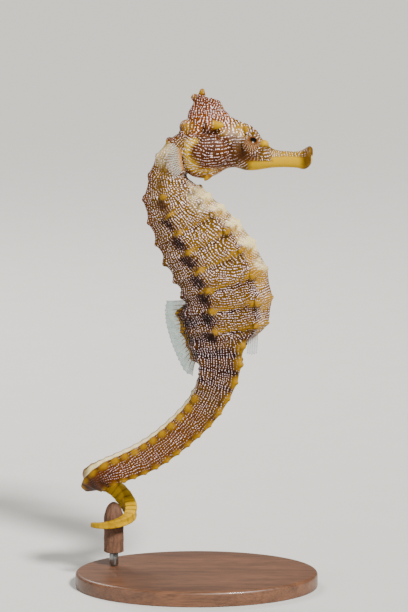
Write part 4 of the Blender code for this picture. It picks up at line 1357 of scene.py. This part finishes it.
def ray_paths(roots, tips, bow, ripple=0.0):
    """Rays from roots to tips, bent by bow halfway and rippled sideways at the edge."""
    share = np.linspace(0, 1, RAY_STEPS)[None, :, None]
    paths = roots[:, None] + (tips - roots)[:, None] * share + bow[:, None] * (share * (1 - share))
    paths[:, :, 1] += ripple * np.sin(np.arange(len(paths)) * 1.7)[:, None] * share[0, :, 0] ** 2
    return paths


def straight(ends, t, y=0):
    """Points on the line between two ends, each an x and a z."""
    (x, z), (last_x, last_z) = ends
    return rows_of(x + (last_x - x) * t, y, z + (last_z - z) * t)


def dorsal_paths():
    """Rays that stand in the keel and end on the free edge."""
    t = np.linspace(0, 1, DORSAL_RAYS)
    s = np.linspace(DORSAL_START + DORSAL_FOOT[0], DORSAL_END + DORSAL_FOOT[1], DORSAL_RAYS)
    place, _, back, _, sizes = SPINE.at(s)
    middle_of_back = TRUNK_SECTION[0][1] * sizes[:, :1]
    roots = place + back * (middle_of_back + fin_pad(s)[:, None] - RAY_BURIED)
    edge_x, edge_z = (np.interp(t, DORSAL_EDGE[:, 0], column) for column in DORSAL_EDGE[:, 1:].T)
    return ray_paths(roots, rows_of(edge_x, 0, edge_z), back * 0.6, ripple=0.15)


def anal_paths():
    """A tiny fan at the vent."""
    t = np.linspace(0, 1, ANAL_RAYS)
    tips = straight(ANAL_EDGE, t) - rows_of(0, 0, 0.3 * np.sin(math.pi * t))
    return ray_paths(straight(ANAL_FOOT, t), tips, rows_of(0.3 + 0 * t, 0, 0))


def pectoral_paths(side):
    """A half-folded fan behind the gill cover of one side."""
    t = np.linspace(0, 1, PECTORAL_RAYS)
    roots = straight(PECTORAL_FOOT, t, side * PECTORAL_Y)
    lean = np.radians(np.linspace(*PECTORAL_LEAN, PECTORAL_RAYS))
    length = PECTORAL_LENGTH + PECTORAL_MORE * np.sin(math.pi * t)
    tips = roots + rows_of(-np.cos(lean) * length, side * PECTORAL_FLARE, np.sin(lean) * length)
    return ray_paths(roots, tips, rows_of(0 * t, side * 0.5, 0), ripple=0.1)


FINS = {
    "dorsal_fin": dorsal_paths(),
    "anal_fin": anal_paths(),
    "pectoral_fin_right": pectoral_paths(-1),
    "pectoral_fin_left": pectoral_paths(1),
}
print("rays:", {name: len(paths) for name, paths in FINS.items()})

# %% Ray tree
ray_tree, source, sink = new_tree("tapered_rays", {"Root radius": "Float", "Tip radius": "Float"})
curve = add(ray_tree, "GeometryNodeMeshToCurve", {"Mesh": source.outputs["Mesh"]}).outputs[0]
along = add(ray_tree, "GeometryNodeSplineParameter").outputs["Factor"]
taper = spread(ray_tree, along, 0.0, 1.0, source.outputs["Root radius"], source.outputs["Tip radius"])
circle = add(ray_tree, "GeometryNodeCurvePrimitiveCircle", {"Resolution": 8, "Radius": 1.0}, mode="RADIUS")
named = {"Geometry": curve, "Name": "from_root", "Value": along}
marked = add(ray_tree, "GeometryNodeStoreNamedAttribute", named, data_type="FLOAT", domain="POINT")
inputs = {"Curve": marked.outputs[0], "Profile Curve": circle.outputs[0], "Scale": taper, "Fill Caps": True}
tube = add(ray_tree, "GeometryNodeCurveToMesh", inputs)
end_tree(ray_tree, tube.outputs[0], source.outputs["Finish"], sink)
print("ray tree:", len(ray_tree.nodes), "nodes")

# %% Fin materials
# Soft bone: amber at the foot, and clear white at the edge.
ray_finish, tree, shader = new_material("fin_ray_bone")
from_root = read_mask(tree, "from_root")
fill(tree, shader, {
    "Base Color": tint(tree, spread(tree, from_root, 0.05, 0.5), "#B07408", "#BCC6BA"),
    "Alpha": spread(tree, from_root, 0.2, 1.0, 0.9, 0.4),
    "Roughness": 0.35,
    "IOR": 1.4,
})


def web_material(name, low, high, thinnest, thickest):
    """A wet gelatine-like film with a faint haze."""
    made, tree, shader = new_material(name)
    haze = noise(tree, own_place(tree), 1.4, 3.0)
    fill(tree, shader, {
        "Base Color": tint(tree, haze, low, high),
        "Alpha": spread(tree, haze, 0.3, 0.7, thinnest, thickest),
        "Roughness": 0.25,
        "IOR": 1.36,
        "Transmission Weight": 0.2,
    })
    return made


WEBS = {
    "dorsal_fin": web_material("blue_green_fin_web", "#38605A", "#73938A", 0.36, 0.55),
    "anal_fin": web_material("milky_fin_web", "#A9B6BE", "#E6ECF0", 0.35, 0.6),
}
pale_web = web_material("clear_fin_web", "#B89A88", "#E2D0C8", 0.06, 0.2)
print("webs:", [finish.name for finish in (*WEBS.values(), pale_web)])

# %% Webs and rays
WEB_THICK = 0.1
WEB_STEPS = 4  # from one ray to the next
WEB_DRAWN_IN = 0.05  # how far the edge falls back halfway between two rays, as a share of their length
ROOT_RADIUS, TIP_RADIUS = 0.16, 0.05


def make_web(name, paths, finish):
    """A thin sheet through all the rays, drawn in a little between them at the edge."""
    rows = []
    for one, other in zip(paths, paths[1:]):
        for t in np.arange(WEB_STEPS) / WEB_STEPS:
            row = one * (1 - t) + other * t
            rows.append(row[0] + (row - row[0]) * (1 - WEB_DRAWN_IN * math.sin(math.pi * t)))
    rows.append(paths[-1])
    faces = []
    for low in range(0, (len(rows) - 1) * RAY_STEPS, RAY_STEPS):
        for j in range(low, low + RAY_STEPS - 1):
            faces.append((j, j + RAY_STEPS, j + RAY_STEPS + 1, j + 1))
    sheet = new_object(name, rows, faces, finish)
    thick = sheet.modifiers.new("thickness", "SOLIDIFY")
    thick.thickness, thick.offset = WEB_THICK * MM, 0
    made = evaluated_copy(sheet, name)
    made.data.shade_smooth()
    return made


def make_rays(name, paths):
    """Tapered tubes along the paths."""
    starts = range(0, len(paths) * RAY_STEPS, RAY_STEPS)
    edges = [(low + j, low + j + 1) for low in starts for j in range(RAY_STEPS - 1)]
    inputs = {"Root radius": ROOT_RADIUS * MM, "Tip radius": TIP_RADIUS * MM, "Finish": ray_finish}
    made = grown(new_object(name, paths, edges=edges), name, ray_tree, inputs)
    made.data.shade_smooth()
    return made


FIN_PIECES = {
    node: (make_web(node + "_web", paths, WEBS.get(node, pale_web)), make_rays(node + "_rays", paths))
    for node, paths in FINS.items()
}
print("fin pieces:", sum(len(pair) for pair in FIN_PIECES.values()))

# %% [markdown]
# ## Twig and stand
# The tail needs something to hold: a short cut twig with furrowed bark and a weathered round end. It stands
# on a steel pin in an oiled walnut base with a softly rounded edge.

# %% Twig
PERCH_RADIUS, PERCH_FOOT, PERCH_SHOULDER, PERCH_TOP = 2.75, 8.0, 16.4, 21.4
PERCH_STEPS, PERCH_LOOPS, DOME_LOOPS = 96, 60, 44


def twig_points():
    """Loops up the twig and over its round end, inside its full radius by plates and furrows of bark."""
    angle = turns(PERCH_STEPS)
    dome = PERCH_TOP - PERCH_SHOULDER
    over_dome = PERCH_SHOULDER + dome * np.sin(np.radians(np.linspace(3, 88, DOME_LOOPS)))
    rows = []
    for z in (*np.linspace(PERCH_FOOT, PERCH_SHOULDER, PERCH_LOOPS), *over_dome):
        up = max(0.0, (z - PERCH_SHOULDER) / dome)
        furrow = 0.5 * np.sin(9 * angle + 0.8 * np.sin(0.9 * z)) + 0.3 * np.sin(17 * angle - 0.7 * z)
        plate = 0.5 * np.sin(2.1 * z + 2.0 * np.sin(3 * angle))
        bark = 1 - 0.05 - 0.045 * (np.abs(furrow) < 0.25) - 0.015 * plate - 0.01 * furrow
        radius = PERCH_RADIUS * math.sqrt(max(0.0, 1 - up * up)) * bark
        rows.append(loop_at(angle, z, radius, radius, (COIL_X, COIL_Y)))
    return rows


# Dry bark: rough, dark in the furrows, and drawn out along the twig.
bark_finish, tree, shader = new_material("furrowed_twig_bark")
furrows = noise(tree, own_place(tree, (1.0, 1.0, 0.25)), 0.7, 6.0)
fill(tree, shader, {
    "Base Color": tint(tree, furrows, "#24150D", "#7A5238"),
    "Normal": dented(tree, furrows, 0.8, 0.2),
    "Roughness": 0.8,
})
twig = grid_object("perch_twig", twig_points(), bark_finish)
recalculated(twig)
print("twig:", len(twig.data.vertices), "points")

# %% Base and pin
BASE_LENGTH, BASE_DEPTH, BASE_THICK, BASE_ROUND = 64.0, 44.0, 4.0, 0.9
UNDER_ROUND = BASE_ROUND * 0.35
BASE_STEPS, PIN_STEPS = 160, 48
PIN_BEVEL = 0.12


def quarter(steps):
    """What is left of a sine and of a cosine up to 1, over a right angle."""
    return [(1 - math.sin(t), 1 - math.cos(t)) for t in np.linspace(0, math.pi / 2, steps)]


def base_points():
    """Loops from the underside out, up the edge and in over the top."""
    half_x, half_y, angle = BASE_LENGTH / 2, BASE_DEPTH / 2, turns(BASE_STEPS)
    rows = [loop_at(angle, 0.0, half_x * share, half_y * share) for share in (0.25, 0.7)]
    edge = [(UNDER_ROUND * inward, UNDER_ROUND * up) for inward, up in quarter(7)]
    edge += [(BASE_ROUND * inward, BASE_THICK - BASE_ROUND * down) for down, inward in quarter(9)]
    rows += [loop_at(angle, z, half_x - inward, half_y - inward) for inward, z in edge]
    return rows + [loop_at(angle, BASE_THICK, half_x * share, half_y * share) for share in (0.7, 0.25)]


# Walnut: dark growth rings and fine fibres along its length, under a thin oil sheen.
wood_finish, tree, shader = new_material("oiled_walnut")
lengthwise = own_place(tree, (0.09, 1.0, 1.0))
growth = noise(tree, lengthwise, 3.2, 5.0, Distortion=0.6)
fibres = noise(tree, lengthwise, 0.35, 3.0)
wood = tint(tree, growth, "#2A170C", "#86583A")
fill(tree, shader, {
    "Base Color": tint(tree, spread(tree, fibres, 0.35, 0.6, 0.45, 0.0), wood, "#24130B"),
    "Normal": dented(tree, fibres, 0.25, 0.05),
    "Roughness": 0.42,
    "Coat Weight": 0.15,
})
base = grid_object("stand_base_walnut", base_points(), wood_finish)
recalculated(base)

# Brushed steel: fine streaks along the pin blur its reflections more or less.
steel_finish, tree, shader = new_material("brushed_steel_pin")
brushed = noise(tree, own_place(tree, (0.1, 0.1, 1.0)), 0.2)
streaks = spread(tree, brushed, 0.3, 0.7, 0.25, 0.45)
fill(tree, shader, {"Base Color": "#8C8C8A", "Metallic": 1.0, "Roughness": streaks})
low, high = (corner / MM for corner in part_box("stand_rod"))
middle, radius = (low + high) / 2, (high.x - low.x) / 2
bevelled = ((0.9, low.z), (1.0, low.z + PIN_BEVEL), (1.0, high.z - PIN_BEVEL), (0.9, high.z))
loops = [loop_at(turns(PIN_STEPS), z, radius * share, radius * share, middle) for share, z in bevelled]
pin = grid_object("stand_pin", loops, steel_finish)
recalculated(pin)
print("stand:", base.name, pin.name)

# %% [markdown]
# ## Handing over
# Each piece hides the solids it stands for, then rides on the model's one body. The animal is still, so nothing
# moves.

# %% Riding and replacing
FLESH = [
    "snout", "head", "coronet", "gill_cover_left", "gill_cover_right", "neck", "trunk_upper", "trunk_lower",
    "tail_1", "tail_2", "tail_3", "tail_4", "tail_5", "tail_6", "tail_tip",
]
DRESSED = [
    (skin, FLESH, "ringed_skin"),
    (twig, ["perch"], "branch_bark"),
    (base, ["stand_base"], "base_wood"),
    (pin, ["stand_rod"], "rod_steel"),
]
DRESSED += [(eye, [node], "eye") for node, eye in EYES.items()]
for node, (web, rays) in FIN_PIECES.items():
    DRESSED += [(web, [node], "fin_web"), (rays, [], "fin_web")]
for piece, nodes, slot in DRESSED:
    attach(piece, "root")
    if nodes:
        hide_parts(*nodes)
print("pieces:", len(DRESSED))

# %% End
print("done")
